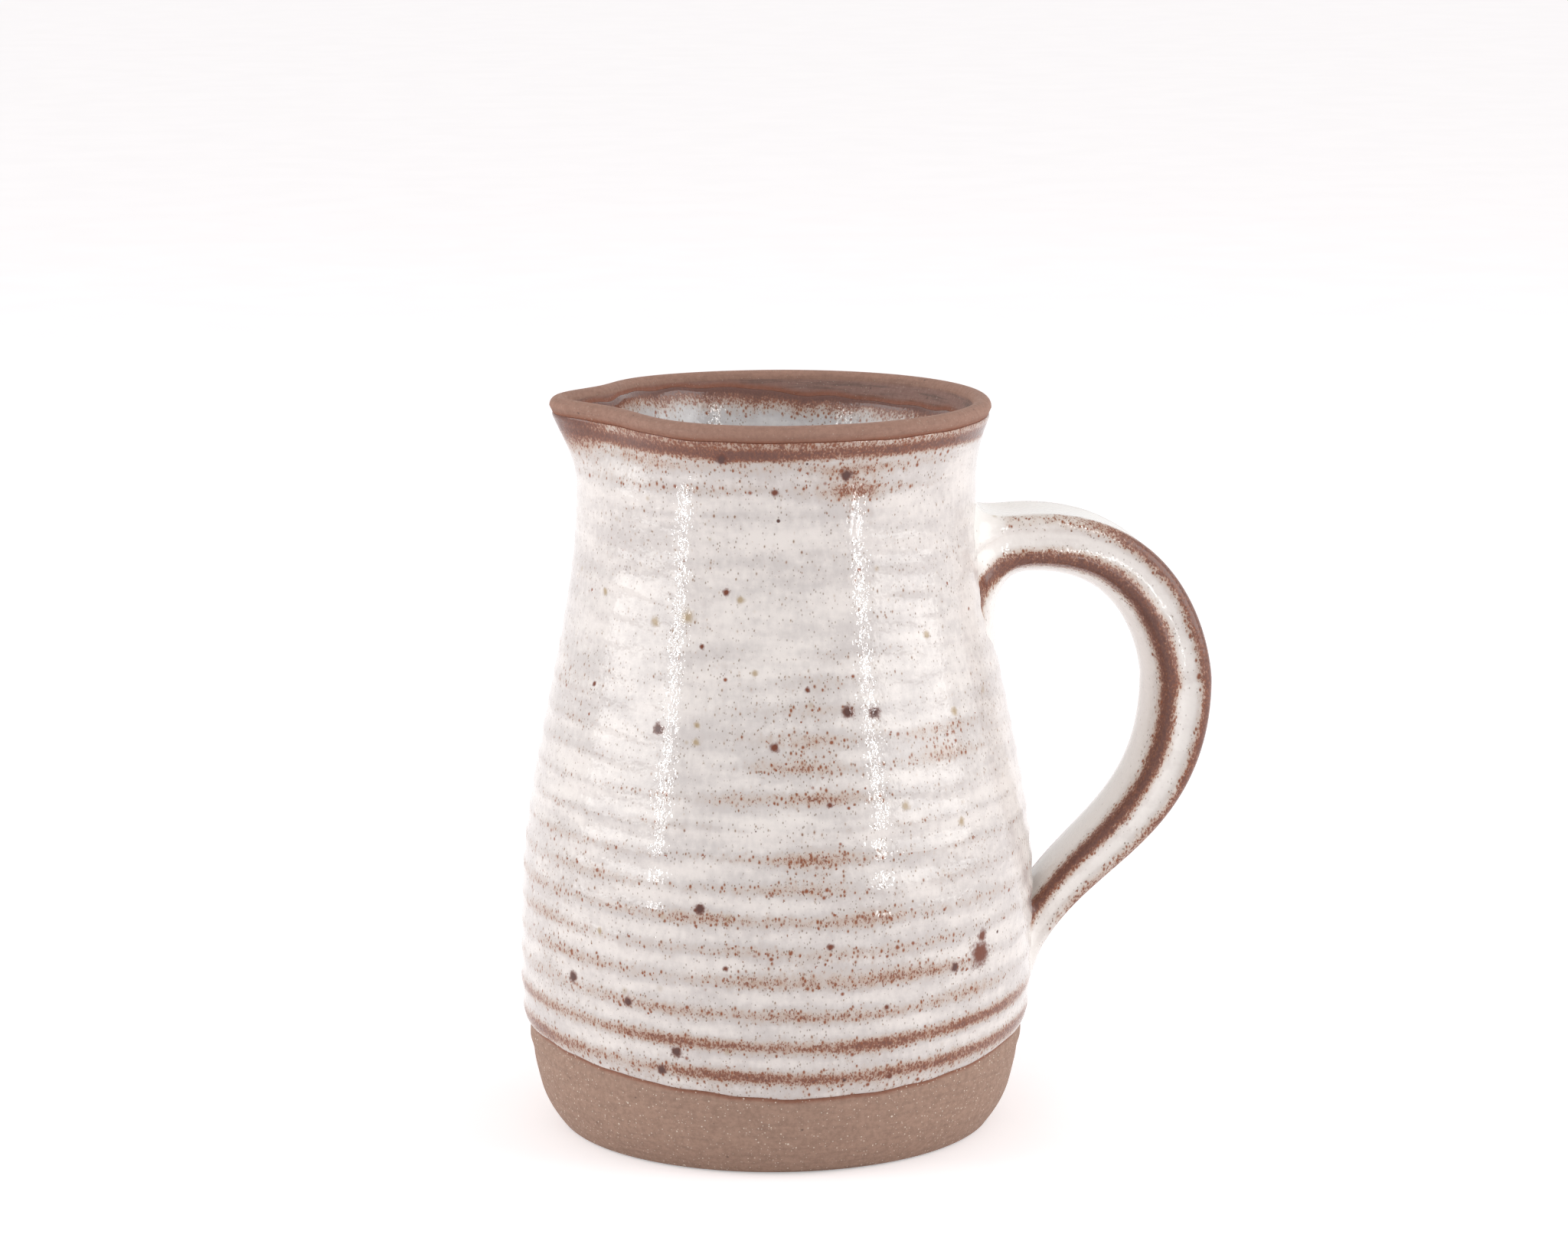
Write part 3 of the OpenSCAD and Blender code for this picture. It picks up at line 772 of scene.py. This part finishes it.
def handle_surface(grow, thick):
    """Grid of handle points smoothed onto the wall, with their distances from the wall and stations."""
    start, end = landings(grow, thick)
    t = np.linspace(0, 1, STATIONS)
    t = t - END_BUNCH * np.sin(2 * np.pi * t) / (2 * np.pi)
    s = start + (end - start) * t[:, None]
    points = strap_points(s, grow)
    gap, wall_normal = off_wall(points, thick)
    gap = np.maximum(gap, 0)
    along = np.gradient(points, axis=0)
    across = np.roll(points, -1, axis=1) - np.roll(points, 1, axis=1)
    normal = unit(np.cross(along, across))
    facing = (normal * wall_normal).sum(axis=-1, keepdims=True)
    tangent = unit(normal - facing * wall_normal)
    high = np.where(s < 1, ROOT_HIGH, TAIL_HIGH)
    spread = fillet_length(tangent, s < 1) * (1 - np.sqrt(np.clip(gap / high, 0, 1))) ** 2
    points = points + spread[..., None] * tangent
    near = smoothstep(high, PULL_CORE * high, gap)
    for _ in range(PULL_ROUNDS):
        moved, wall_normal = off_wall(points, thick)
        points = points - (near * (moved - gap))[..., None] * wall_normal
    sink = np.zeros((STATIONS, 1, 1))
    sink[[0, -1]] = LANDING_SINK
    return points - sink * wall_normal, gap, s


handle_points, handle_gap, handle_s = handle_surface(GLAZE, GLAZE)
print("handle stands", round(float(np.ptp(handle_points[..., 2])), 1), "mm high")

# %% [markdown]
# ## Where the handle's glaze is thin
# Glaze runs off a ridge and gathers in a hollow. So the four ridges of the strap show brown, the inner two
# most, and the grooves between them stay white. The Pointiness of a Geometry node could find the ridges,
# but it would find the fillets too. Here the distance along the section from each ridge's middle is used.

# %% Handle glaze
INNER_BREAK, OUTER_BREAK = 4.0, 3.3
RIDGE_THIN, GROOVE_THICK, PULL_LINES = 1.18, 0.3, 0.1
OUTER_RIDGES, INNER_RIDGES = (0, 3), (1, 2)
ROOT_HIDE = 8.0


def ridge_distance(points, which):
    """Distance along the section from the nearest of the given ridges."""
    step = np.linalg.norm(np.roll(points, -1, axis=1) - points, axis=-1)
    length = np.cumsum(step, axis=1) - step
    total = step.sum(axis=1, keepdims=True)
    nearest = np.full(points.shape[:2], total.max())
    for i in which:
        away = np.abs(length - length[:, [RIDGE_MIDDLES[i]]])
        nearest = np.minimum(nearest, np.minimum(away, total - away))
    return nearest


def thin_on_handle(gap, s):
    """How thin the glaze lies on the handle: 1 on the brown ridges, below 0 in the creamy hollows."""
    plain = strap_points(s, GLAZE)
    uneven = 1 + 0.12 * wander(3 * s, 61)
    from_root = np.where(s > 1, ROOT_HIDE, gap)
    near_root = 0.25 + 0.75 * smoothstep(0, ROOT_HIDE, from_root)
    inner = bump(ridge_distance(plain, INNER_RIDGES), 0, INNER_BREAK * uneven * near_root)
    ends = smoothstep(0.01, 0.06, s) * smoothstep(2.02, 1.7, s)
    worn = 0.58 + 0.42 * smoothstep(0.12, 0.4, s) - 0.3 * smoothstep(1.15, 1.5, s)
    outer = bump(ridge_distance(plain, OUTER_RIDGES), 0, OUTER_BREAK * uneven) * ends * worn
    strand_angle = np.linspace(0, 2 * np.pi, STRANDS, endpoint=False)
    pulled = PULL_LINES * wander(strand_angle, 62, (5, 9, 14, 22))
    return RIDGE_THIN * np.maximum(inner, outer) + pulled - GROOVE_THICK


handle_thin = thin_on_handle(handle_gap, handle_s)
handle_coat = grid_mesh("handle_coat", handle_points, thin=handle_thin, edge=FAR_FROM_EDGE)
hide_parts("handle_glaze")

# %% Clay of the handle
clay_handle = grid_mesh(
    "clay_handle",
    handle_surface(0.0, 0.0)[0],
    caps=(True, True),
    flash=0.5,
    scorch=0.0,
    halo=0.0,
)
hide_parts("pulled_handle")

# %% [markdown]
# ## Node helpers
# A material is a small graph. It can be drawn by hand in the shader editor, but in writing a change is one
# number. A few helpers keep the graphs short: one adds a node and fills or links its inputs, others do
# arithmetic, a smooth step or a mix. Texture space is the object's own, scaled to millimetres, so a speck
# of half a millimetre is written as 0.5.

# %% Node helpers
def node(tree, kind, inputs=None, **settings):
    """Adds a node. Its inputs are values, or sockets that get linked."""
    made = tree.nodes.new(kind)
    for name, value in settings.items():
        setattr(made, name, value)
    for socket, value in (inputs or {}).items():
        if isinstance(value, bpy.types.NodeSocket):
            tree.links.new(value, made.inputs[socket])
        else:
            made.inputs[socket].default_value = value
    return made


def calc(tree, operation, a, b=0.0):
    """Arithmetic on two numbers."""
    return node(tree, "ShaderNodeMath", {0: a, 1: b}, operation=operation).outputs[0]


def total(tree, *terms):
    """Sum of terms, where a pair is a socket and its weight."""
    weighed = [calc(tree, "MULTIPLY", *term) if isinstance(term, tuple) else term for term in terms]
    result = weighed[0]
    for term in weighed[1:]:
        result = calc(tree, "ADD", result, term)
    return result


def ease(tree, value, low, high, start=0.0, end=1.0):
    """Smooth step from start to end while a value goes from low to high."""
    inputs = {"Value": value, "From Min": low, "From Max": high, "To Min": start, "To Max": end}
    return node(tree, "ShaderNodeMapRange", inputs, interpolation_type="SMOOTHSTEP").outputs["Result"]


def blend(tree, share, a, b):
    """Mix of two colours."""
    return node(tree, "ShaderNodeMix", {0: share, 6: a, 7: b}, data_type="RGBA").outputs[2]


def colour(*screen):
    """A colour given as it looks on a screen, 0 to 255, as the linear value that a shader needs."""
    parts = [c / 255 for c in screen]
    linear = [c / 12.92 if c <= 0.04045 else ((c + 0.055) / 1.055) ** 2.4 for c in parts]
    return (*linear, 1.0)


def millimetres(tree, stretch=(1.0, 1.0, 1.0)):
    """Object coordinates in millimetres, stretched along an axis where a factor is below 1."""
    place = node(tree, "ShaderNodeTexCoord").outputs["Object"]
    factors = tuple(factor / MM for factor in stretch)
    return node(tree, "ShaderNodeVectorMath", {0: place, 1: factors}, operation="MULTIPLY").outputs[0]


def noise(tree, where, scale, detail=3.0, rough=0.55):
    """Cloudy noise about zero, with scale in features for each millimetre."""
    inputs = {"Vector": where, "Scale": scale, "Detail": detail, "Roughness": rough}
    return calc(tree, "SUBTRACT", node(tree, "ShaderNodeTexNoise", inputs).outputs["Fac"], 0.5)


print("a mid grey on the screen is", round(colour(128, 128, 128)[0], 2), "of white in a shader")

# %% [markdown]
# ## Specks
# Iron in the clay burns through the glaze as specks, and the clay itself holds grains of fired grit. Both
# are dots of uneven size thrown at random, so one group serves them all. Stretched noise with a sharp ramp
# gives dots too, but they run together. A Voronoi texture gives each grain a cell; the cell's random
# colour decides whether it holds a speck, and how large that is.

# %% Speck group
SMALLEST_SPECK = 0.4


def group(name, inputs, outputs):
    """An empty shader node group with named sockets, and its input and output sockets."""
    tree = bpy.data.node_groups.new(name, "ShaderNodeTree")
    for way, sockets in (("INPUT", inputs), ("OUTPUT", outputs)):
        for title, kind in sockets.items():
            tree.interface.new_socket(title, in_out=way, socket_type="NodeSocket" + kind)
    return tree, tree.nodes.new("NodeGroupInput").outputs, tree.nodes.new("NodeGroupOutput").inputs


def put_out(tree, sockets, **results):
    """Links results to a group's output sockets."""
    for title, result in results.items():
        tree.links.new(result, sockets[title])
    print(tree.name, "has", len(tree.nodes), "nodes")


specks_group, given, put = group(
    "iron_specks",
    {"Vector": "Vector", "Pitch": "Float", "Share": "Float", "Radius": "Float", "Blur": "Float"},
    {"Mask": "Float"},
)
tree = specks_group
per_mm = calc(tree, "DIVIDE", 1.0, given["Pitch"])
cells = node(tree, "ShaderNodeTexVoronoi", {"Vector": given["Vector"], "Scale": per_mm}).outputs
luck = node(tree, "ShaderNodeSeparateColor", {"Color": cells["Color"]}).outputs
present = calc(tree, "LESS_THAN", luck["Red"], given["Share"])
size_share = ease(tree, luck["Green"], 0.0, 1.0, SMALLEST_SPECK, 1.0)
speck_r = calc(tree, "MULTIPLY", given["Radius"], size_share)
away = calc(tree, "MULTIPLY", cells["Distance"], given["Pitch"])
core = calc(tree, "MULTIPLY", speck_r, calc(tree, "SUBTRACT", 1.0, given["Blur"]))
dot = ease(tree, away, speck_r, core)
put_out(tree, put, Mask=calc(tree, "MULTIPLY", dot, present))

# %% [markdown]
# ## The skin of the glaze
# This stoneware glaze is a milky white over an iron-rich clay. Where it lies thick it is white; on a
# ring's crest it thins to a peppered grey, and on edges it breaks to ochre, then red-brown, then dark
# brown. Painted masks could place these colours, but they would have to be painted for every side. One
# group does this by rule for the wall, the handle and the liner. It adds fine noise to the mesh's "thin"
# number, and the sum decides the colour, so a break is always fringed with specks, as in a real glaze.

# %% Thinness of the glaze
SKIN = {"Color": "Color", "Roughness": "Float", "Height": "Float"}


def peppered(tree, thin):
    """Coarse thinness, with clouds added to the mesh's number, and fine, with upright grains as well."""
    tall = millimetres(tree, (1.0, 1.0, 0.7))
    clouds = noise(tree, millimetres(tree, (0.5, 0.5, 1.0)), scale=0.06)
    blots = noise(tree, tall, scale=0.7)
    grains = noise(tree, tall, scale=2.3, rough=0.6)
    coarse = total(tree, thin, (clouds, 0.5), (blots, 0.45))
    return coarse, total(tree, coarse, (grains, 1.5))


glaze_skin, given, put = group(
    "glaze_skin",
    {"Thin": "Float", "Edge": "Float", "White": "Color", "Shade": "Color"},
    SKIN,
)
tree = glaze_skin
place = millimetres(tree)
thin_near = total(tree, given["Thin"], (ease(tree, given["Edge"], 3.2, 0.8), 0.14))
thin_edge = calc(tree, "MAXIMUM", thin_near, ease(tree, given["Edge"], 0.6, 0.0, -1.0, 0.9))
coarse, fine = peppered(tree, thin_edge)
print("thinness takes", len(tree.nodes), "nodes")

# %% White, grey and red specks
PEPPER_GREY, SPECK_RED, BLOOM_OCHRE = colour(140, 118, 100), colour(142, 76, 42), colour(172, 146, 104)
BREAK_OCHRE, BREAK_TAN = colour(194, 160, 126), colour(168, 122, 98)
RED_PITCH = 0.85


def specks(tree, where, pitch, share, radius, blur):
    """Places the speck group in another tree and returns its mask."""
    inputs = {"Vector": where, "Pitch": pitch, "Share": share, "Radius": radius, "Blur": blur}
    return node(tree, "ShaderNodeGroup", inputs, node_tree=specks_group).outputs["Mask"]


streaks = noise(tree, millimetres(tree, (0.25, 0.25, 1.0)), scale=0.22, detail=4.0)
grey = ease(tree, total(tree, coarse, (streaks, 0.8)), -0.2, 0.24)
warm = ease(tree, coarse, 0.04, 0.55, 0.0, 0.38)
skin = blend(tree, grey, given["White"], given["Shade"])
skin = blend(tree, warm, skin, BREAK_OCHRE)
skin = blend(tree, ease(tree, coarse, 0.25, 0.65, 0.0, 0.75), skin, BREAK_TAN)
ochre_dots = specks(tree, place, pitch=6.5, share=0.4, radius=1.3, blur=0.9)
skin = blend(tree, calc(tree, "MULTIPLY", ochre_dots, 0.45), skin, BLOOM_OCHRE)
upright = millimetres(tree, (1.0, 1.0, 0.65))
grey_share = ease(tree, coarse, -0.25, 0.15, 0.12, 0.85)
grey_dots = specks(tree, upright, pitch=0.65, share=grey_share, radius=0.26, blur=0.8)
grey_seen = ease(tree, coarse, -0.15, 0.12, 0.4, 0.95)
skin = blend(tree, calc(tree, "MULTIPLY", grey_dots, grey_seen), skin, PEPPER_GREY)
crowd = ease(tree, coarse, -0.1, 0.36, 0.0, 0.95)
dot_r = ease(tree, coarse, -0.1, 0.3, 0.22, 0.46)
halo_r = calc(tree, "MULTIPLY", dot_r, 1.7)
halos = specks(tree, upright, pitch=RED_PITCH, share=crowd, radius=halo_r, blur=0.95)
skin = blend(tree, calc(tree, "MULTIPLY", halos, 0.35), skin, BREAK_OCHRE)
red_dots = specks(tree, upright, pitch=RED_PITCH, share=crowd, radius=dot_r, blur=0.75)
red_seen = ease(tree, coarse, -0.1, 0.1, 0.5, 1.0)
dot_tint = blend(tree, ease(tree, coarse, 0.0, 0.22), PEPPER_GREY, SPECK_RED)
skin = blend(tree, calc(tree, "MULTIPLY", red_dots, red_seen), skin, dot_tint)
large_share = ease(tree, coarse, 0.0, 0.5, 0.01, 0.75)
large_dots = specks(tree, place, pitch=1.9, share=large_share, radius=0.72, blur=0.7)
skin = blend(tree, large_dots, skin, SPECK_RED)
print("with the specks it has", len(tree.nodes))

# %% Brown breaks and gloss
BREAK_RED, BREAK_BROWN, IRON_DARK = colour(138, 78, 50), colour(118, 74, 60), colour(88, 52, 44)
skin = blend(tree, ease(tree, fine, 0.42, 0.6, 0.0, 0.9), skin, BREAK_RED)
skin = blend(tree, ease(tree, fine, 0.55, 0.85), skin, BREAK_BROWN)
skin = blend(tree, ease(tree, fine, 0.78, 1.2, 0.0, 0.55), skin, IRON_DARK)
iron_dots = specks(tree, place, pitch=6.0, share=0.12, radius=0.55, blur=0.5)
skin = blend(tree, iron_dots, skin, IRON_DARK)
brown = ease(tree, fine, 0.45, 0.8)
peel = noise(tree, place, scale=1.05, detail=1.0, rough=0.5)
roughness = total(tree, ease(tree, peel, -0.2, 0.2, 0.05, 0.08), (brown, 0.06))
swell = noise(tree, place, scale=0.22, detail=2.0, rough=0.5)
relief = total(tree, (peel, 0.068), (swell, 0.1), (brown, -0.03), (iron_dots, 0.02))
put_out(tree, put, Color=skin, Roughness=roughness, Height=relief)

# %% [markdown]
# ## Iron blooms
# A few larger grains of iron have melted into spots that anyone who used this pitcher would know it by.
# They could be painted on a picture, but that needs an unwrapped mesh. Instead they are listed as an
# angle round the wall, a level and a size, and each is drawn by its distance from that place.

# %% Blooms on the wall
DARK_BLOOMS = [
    (-80.4, 99.9, 1.5), (-73.3, 99.4, 1.4), (-128.1, 95.7, 1.3), (-112.6, 152.9, 1.4),
    (-78.5, 149.2, 1.4), (-115.0, 59.4, 1.3), (-148.6, 40.3, 1.4), (-131.8, 37.7, 1.1),
    (-120.0, 28.1, 1.4), (-123.6, 23.7, 1.2), (-55.9, 43.5, 1.2), (75.0, 84.0, 1.4), (120.0, 47.0, 1.8),
]
RED_BLOOMS = [
    (-98.6, 93.2, 1.4), (-90.4, 104.8, 0.8), (-117.8, 113.4, 0.8), (-86.0, 81.1, 0.9),
    (-98.3, 145.9, 1.1), (-111.6, 124.8, 1.1), (-151.7, 102.6, 0.8), (-86.6, 51.5, 1.0),
    (-109.0, 47.0, 0.9), (-73.6, 37.5, 0.9), (-72.2, 22.0, 1.1), (95.0, 110.0, 1.2),
    (60.0, 60.0, 1.3), (135.0, 78.0, 1.0), (-47.5, 45.0, 4.2), (-46.8, 48.8, 2.1),
]
OCHRE_BLOOMS = [
    (-48.5, 97.0, 1.4), (-117.8, 97.2, 1.0), (-117.8, 93.7, 1.1), (-103.6, 108.3, 1.0),
    (-67.5, 79.6, 1.3), (-51.7, 74.3, 1.2), (-122.3, 119.3, 1.9), (-152.3, 122.1, 1.1),
    (-132.1, 117.6, 1.3), (-107.7, 123.3, 1.2), (-54.7, 113.8, 1.2), (-139.9, 51.9, 1.0),
    (50.0, 105.0, 1.6), (105.0, 70.0, 1.5),
]


def bloom_mask(tree, blooms, spread, core):
    """Largest of the blooms' masks, with ragged rims, from 0 at the spread to 1 at the core."""
    place = millimetres(tree)
    ragged = total(tree, 1.0, (noise(tree, place, scale=1.1), 1.6))
    mask = 0.0
    for degrees, level, size in blooms:
        angle, z = np.radians(degrees), np.array(level)
        ends = {0: place, 1: pot_points(coat_r(z, angle), z, angle)}
        away = node(tree, "ShaderNodeVectorMath", ends, operation="DISTANCE").outputs["Value"]
        spot = ease(tree, calc(tree, "MULTIPLY", away, ragged), spread * size, core * size)
        mask = calc(tree, "MAXIMUM", mask, spot)
    return mask


print("blooms:", len(DARK_BLOOMS), "dark,", len(RED_BLOOMS), "red and", len(OCHRE_BLOOMS), "ochre")

# %% Glaze materials
GLAZE_IOR = 1.5
IRON_RED = colour(114, 52, 24)
GLAZE_WHITE, GLAZE_SHADE = colour(240, 233, 228), colour(211, 204, 201)
# The handle's two colours on the next line are the wall's glaze made lighter: painted light, for the
# brighter light on the handle.
HANDLE_LIT_WHITE, HANDLE_LIT_SHADE = colour(250, 245, 240), colour(232, 225, 220)
LINER_WHITE, LINER_SHADE = colour(232, 229, 228), colour(206, 203, 204)


def new_material(name):
    """A plain material, with its node tree and its shader."""
    material = bpy.data.materials.new(name)
    material.use_nodes = True
    return material, material.node_tree, material.node_tree.nodes["Principled BSDF"]


def layer(tree, name):
    """A number stored on the mesh."""
    return node(tree, "ShaderNodeAttribute", attribute_name=name).outputs["Fac"]


def dress(tree, shader, tint, roughness, height):
    """Links a finish to a shader, with its height as bump in millimetres."""
    bumps = node(tree, "ShaderNodeBump", {"Height": height, "Distance": MM})
    tree.links.new(tint, shader.inputs["Base Color"])
    tree.links.new(roughness, shader.inputs["Roughness"])
    tree.links.new(bumps.outputs["Normal"], shader.inputs["Normal"])


def glaze_material(name, white, shade, bloomed=False):
    """A glossy stoneware glaze on the skin group."""
    material, tree, shader = new_material(name)
    inputs = {"Thin": layer(tree, "thin"), "Edge": layer(tree, "edge"), "White": white, "Shade": shade}
    skin = node(tree, "ShaderNodeGroup", inputs, node_tree=glaze_skin).outputs
    tint, height = skin["Color"], skin["Height"]
    if bloomed:
        ochre = bloom_mask(tree, OCHRE_BLOOMS, spread=1.1, core=0.2)
        red = bloom_mask(tree, RED_BLOOMS, spread=1.0, core=0.3)
        halo = bloom_mask(tree, DARK_BLOOMS, spread=1.3, core=0.4)
        dark = bloom_mask(tree, DARK_BLOOMS, spread=1.0, core=0.3)
        tint = blend(tree, calc(tree, "MULTIPLY", ochre, 0.8), tint, BLOOM_OCHRE)
        tint = blend(tree, calc(tree, "MAXIMUM", red, halo), tint, IRON_RED)
        tint = blend(tree, dark, tint, IRON_DARK)
        height = total(tree, height, (dark, 0.05), (ochre, 0.05))
    dress(tree, shader, tint, skin["Roughness"], height)
    shader.inputs["IOR"].default_value = GLAZE_IOR
    return material


wall_glaze.data.materials.append(glaze_material("wall_glaze_white", GLAZE_WHITE, GLAZE_SHADE, True))
# The handle gets a lighter copy of the wall's glaze, as painted light.
handle_coat.data.materials.append(glaze_material("handle_glaze_lit_white", HANDLE_LIT_WHITE, HANDLE_LIT_SHADE))
liner_coat.data.materials.append(glaze_material("liner_glaze_grey", LINER_WHITE, LINER_SHADE))
print("glaze materials:", [m.name for m in bpy.data.materials if "glaze" in m.name])

# %% [markdown]
# ## Bare clay
# Where no glaze covers it, the fired clay is dry, matt and gritty: grey-brown on the foot and redder on
# the rim, where the flame reached it. Pale grains of grit stand out of it, and the turning tool has left
# fine lines. One noise alone would look like plastic, so clouds, grain, lines, grit and small holes each
# have their own. The same group with another tint gives the slip that holds the handle on.

# %% Clay group
GROG_PALE, CLAY_DARK = colour(232, 218, 202), colour(92, 74, 66)
# The first colour on the next line is a darker clay, painted shade for the bare clay inside the mouth.
CLAY_INSIDE_SHADE, CLAY_RUST = colour(140, 107, 97), colour(136, 78, 52)

bare_clay, given, put = group(
    "bare_clay",
    {"Clay": "Color", "Flashed": "Color", "Flash": "Float", "Inside Shade": "Float", "Halo": "Float"},
    SKIN,
)
tree = bare_clay
place = millimetres(tree)
clouds = noise(tree, place, scale=0.05, detail=4.0)
grain = noise(tree, place, scale=0.9, detail=5.0, rough=0.75)
lines = noise(tree, millimetres(tree, (0.06, 0.06, 1.0)), scale=1.3)
flash = ease(tree, total(tree, given["Flash"], (clouds, 0.6)), -0.1, 1.0)
skin = blend(tree, flash, given["Clay"], given["Flashed"])
# Painted shade: the bare clay inside the mouth is darkened as if in shade, and the same mask deepens its
# turning lines there.
skin = blend(tree, given["Inside Shade"], skin, CLAY_INSIDE_SHADE)
line_depth = total(tree, 0.12, (given["Inside Shade"], 0.5))
skin = blend(tree, calc(tree, "MULTIPLY", ease(tree, lines, -0.02, 0.16), line_depth), skin, CLAY_DARK)
mottle = ease(tree, given["Flash"], 0.0, 1.0, 0.26, 0.18)
skin = blend(tree, ease(tree, grain, -0.12, 0.14, 0.0, mottle), skin, CLAY_DARK)
skin = blend(tree, calc(tree, "MULTIPLY", given["Halo"], 0.8), skin, CLAY_RUST)
sand = specks(tree, place, pitch=0.65, share=0.5, radius=0.22, blur=0.6)
grit = specks(tree, place, pitch=1.9, share=0.3, radius=0.32, blur=0.6)
grog = calc(tree, "MAXIMUM", sand, grit)
grog_seen = ease(tree, given["Flash"], 0.0, 1.0, 1.0, 0.18)
skin = blend(tree, calc(tree, "MULTIPLY", grog, grog_seen), skin, GROG_PALE)
# Painted shade: small holes are darkened as if shade lay in them, and sunk a little in the relief.
shaded_holes = specks(tree, place, pitch=2.6, share=0.25, radius=0.35, blur=0.5)
skin = blend(tree, calc(tree, "MULTIPLY", shaded_holes, 0.55), skin, CLAY_DARK)
roughness = ease(tree, grain, -0.2, 0.2, 0.62, 0.88)
relief = total(tree, (grain, 0.12), (lines, 0.12), (grog, 0.05), (shaded_holes, -0.1))
put_out(tree, put, Color=skin, Roughness=roughness, Height=relief)


# %% Clay materials
CLAY_FOOT, CLAY_RIM, CLAY_SLIP = colour(172, 141, 123), colour(160, 122, 105), colour(150, 128, 116)
FIRED = {"Flash": "flash", "Inside Shade": "scorch", "Halo": "halo"}
HIDDEN = {"Flash": 0.3, "Inside Shade": 0.0, "Halo": 0.0}


def clay_material(name, clay, flashed, marks):
    """Bare clay, whose flash, painted inside shade and halo are layers of the mesh or plain numbers."""
    material, tree, shader = new_material(name)
    inputs = {"Clay": clay, "Flashed": flashed}
    for title, mark in marks.items():
        inputs[title] = layer(tree, mark) if isinstance(mark, str) else mark
    skin = node(tree, "ShaderNodeGroup", inputs, node_tree=bare_clay).outputs
    dress(tree, shader, skin["Color"], skin["Roughness"], skin["Height"])
    return material


stoneware = clay_material("fired_stoneware", CLAY_FOOT, CLAY_RIM, FIRED)
slip = clay_material("joining_slip", CLAY_SLIP, CLAY_RIM, HIDDEN)
for piece in (clay_body, clay_handle):
    piece.data.materials.append(stoneware)
for name in ("upper_slip_joint", "lower_slip_joint"):
    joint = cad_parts[name]
    joint.data.materials.clear()
    joint.data.materials.append(slip)
print("clay materials:", stoneware.name, slip.name)

# %% [markdown]
# ## Studio
# The pitcher stands on a white sheet in soft light. Two tall, narrow light boxes stand left and right of
# the camera; a curved glossy wall shows each as a bright upright streak, which tells the eye that the
# glaze is glass. A picture of a studio could light the scene, but lamps are easier to place. The floor
# gives a part of its white itself, and the rest comes from the lamps, so that the shadow still shows.

# %% Floor
FLOOR_DROP, FLOOR_SIZE, FLOOR_OWN_WHITE = 0.0002, 14.0, 0.40
PAPER_DARK, PAPER_PALE = colour(238, 233, 234), colour(241, 236, 237)
WHITE = (1.0, 1.0, 1.0, 1.0)
bpy.context.scene.view_settings.view_transform = "Standard"


def background_ray(tree):
    """1 for rays that see the background itself: straight, mirrored or through glass."""
    rays = node(tree, "ShaderNodeLightPath").outputs
    seen = calc(tree, "MAXIMUM", rays["Is Camera Ray"], rays["Is Glossy Ray"])
    return calc(tree, "MAXIMUM", seen, rays["Is Transmission Ray"])


def paper_material():
    """White paper: matt, with a faint tooth, and with a white of its own for rays that see it."""
    material, tree, shader = new_material("floor_paper")
    tooth = ease(tree, noise(tree, millimetres(tree), scale=0.02), -0.2, 0.2)
    paper = blend(tree, tooth, PAPER_DARK, PAPER_PALE)
    tree.links.new(paper, shader.inputs["Base Color"])
    shader.inputs["Roughness"].default_value = 1.0
    shader.inputs["Specular IOR Level"].default_value = 0.0
    shader.inputs["Emission Color"].default_value = WHITE
    glow = calc(tree, "MULTIPLY", background_ray(tree), FLOOR_OWN_WHITE)
    tree.links.new(glow, shader.inputs["Emission Strength"])
    return material


half = FLOOR_SIZE / 2
corners = [(x * half, y * half, -FLOOR_DROP) for x, y in ((-1, -1), (1, -1), (1, 1), (-1, 1))]
floor_mesh = bpy.data.meshes.new("floor")
floor_mesh.from_pydata(corners, [], [(0, 1, 2, 3)])
floor = bpy.data.objects.new("floor", floor_mesh)
bpy.context.scene.collection.objects.link(floor)
floor.data.materials.append(paper_material())
print("floor is", FLOOR_SIZE, "m wide")

# %% World
WORLD_LIGHT = 0.66
world = bpy.data.worlds.new("studio")
bpy.context.scene.world = world
world.use_nodes = True
sky = world.node_tree
backdrop = sky.nodes["Background"]
backdrop.inputs["Color"].default_value = WHITE
sky.links.new(ease(sky, background_ray(sky), 0.0, 1.0, WORLD_LIGHT, 1.0), backdrop.inputs["Strength"])
print("the world lights the pitcher with", WORLD_LIGHT, "of its white")

# %% Lamps
STRIP = {"away": 0.25, "wide": 0.006, "low": 0.066, "tall": 0.240, "power": 0.115, "diffuse": False}
SOFT = {"away": 1.2, "wide": 0.9, "low": 0.1, "tall": 1.2, "power": 8.5, "diffuse": True}


def lamp(name, from_camera, away, wide, low, tall, power, diffuse):
    """An upright light box at an angle from the camera's direction, facing the pitcher's axis."""
    data = bpy.data.lights.new(name, "AREA")
    data.shape = "RECTANGLE"
    data.size, data.size_y = wide, tall
    data.energy = power
    box = bpy.data.objects.new(name, data)
    bpy.context.scene.collection.objects.link(box)
    stand = Matrix.Translation((0, -away, low + tall / 2))
    box.matrix_world = turn("Z", CAMERA_TURN + from_camera) @ stand @ turn("X", 90)
    box.visible_camera = False
    box.visible_diffuse = diffuse
    print(name, "stands at", [round(c, 3) for c in box.matrix_world.translation])


lamp("strip_left", -50.0, **STRIP)
lamp("strip_right", 43.0, **STRIP)
lamp("soft_left", -78.0, **SOFT)
lamp("soft_right", 75.0, **SOFT)
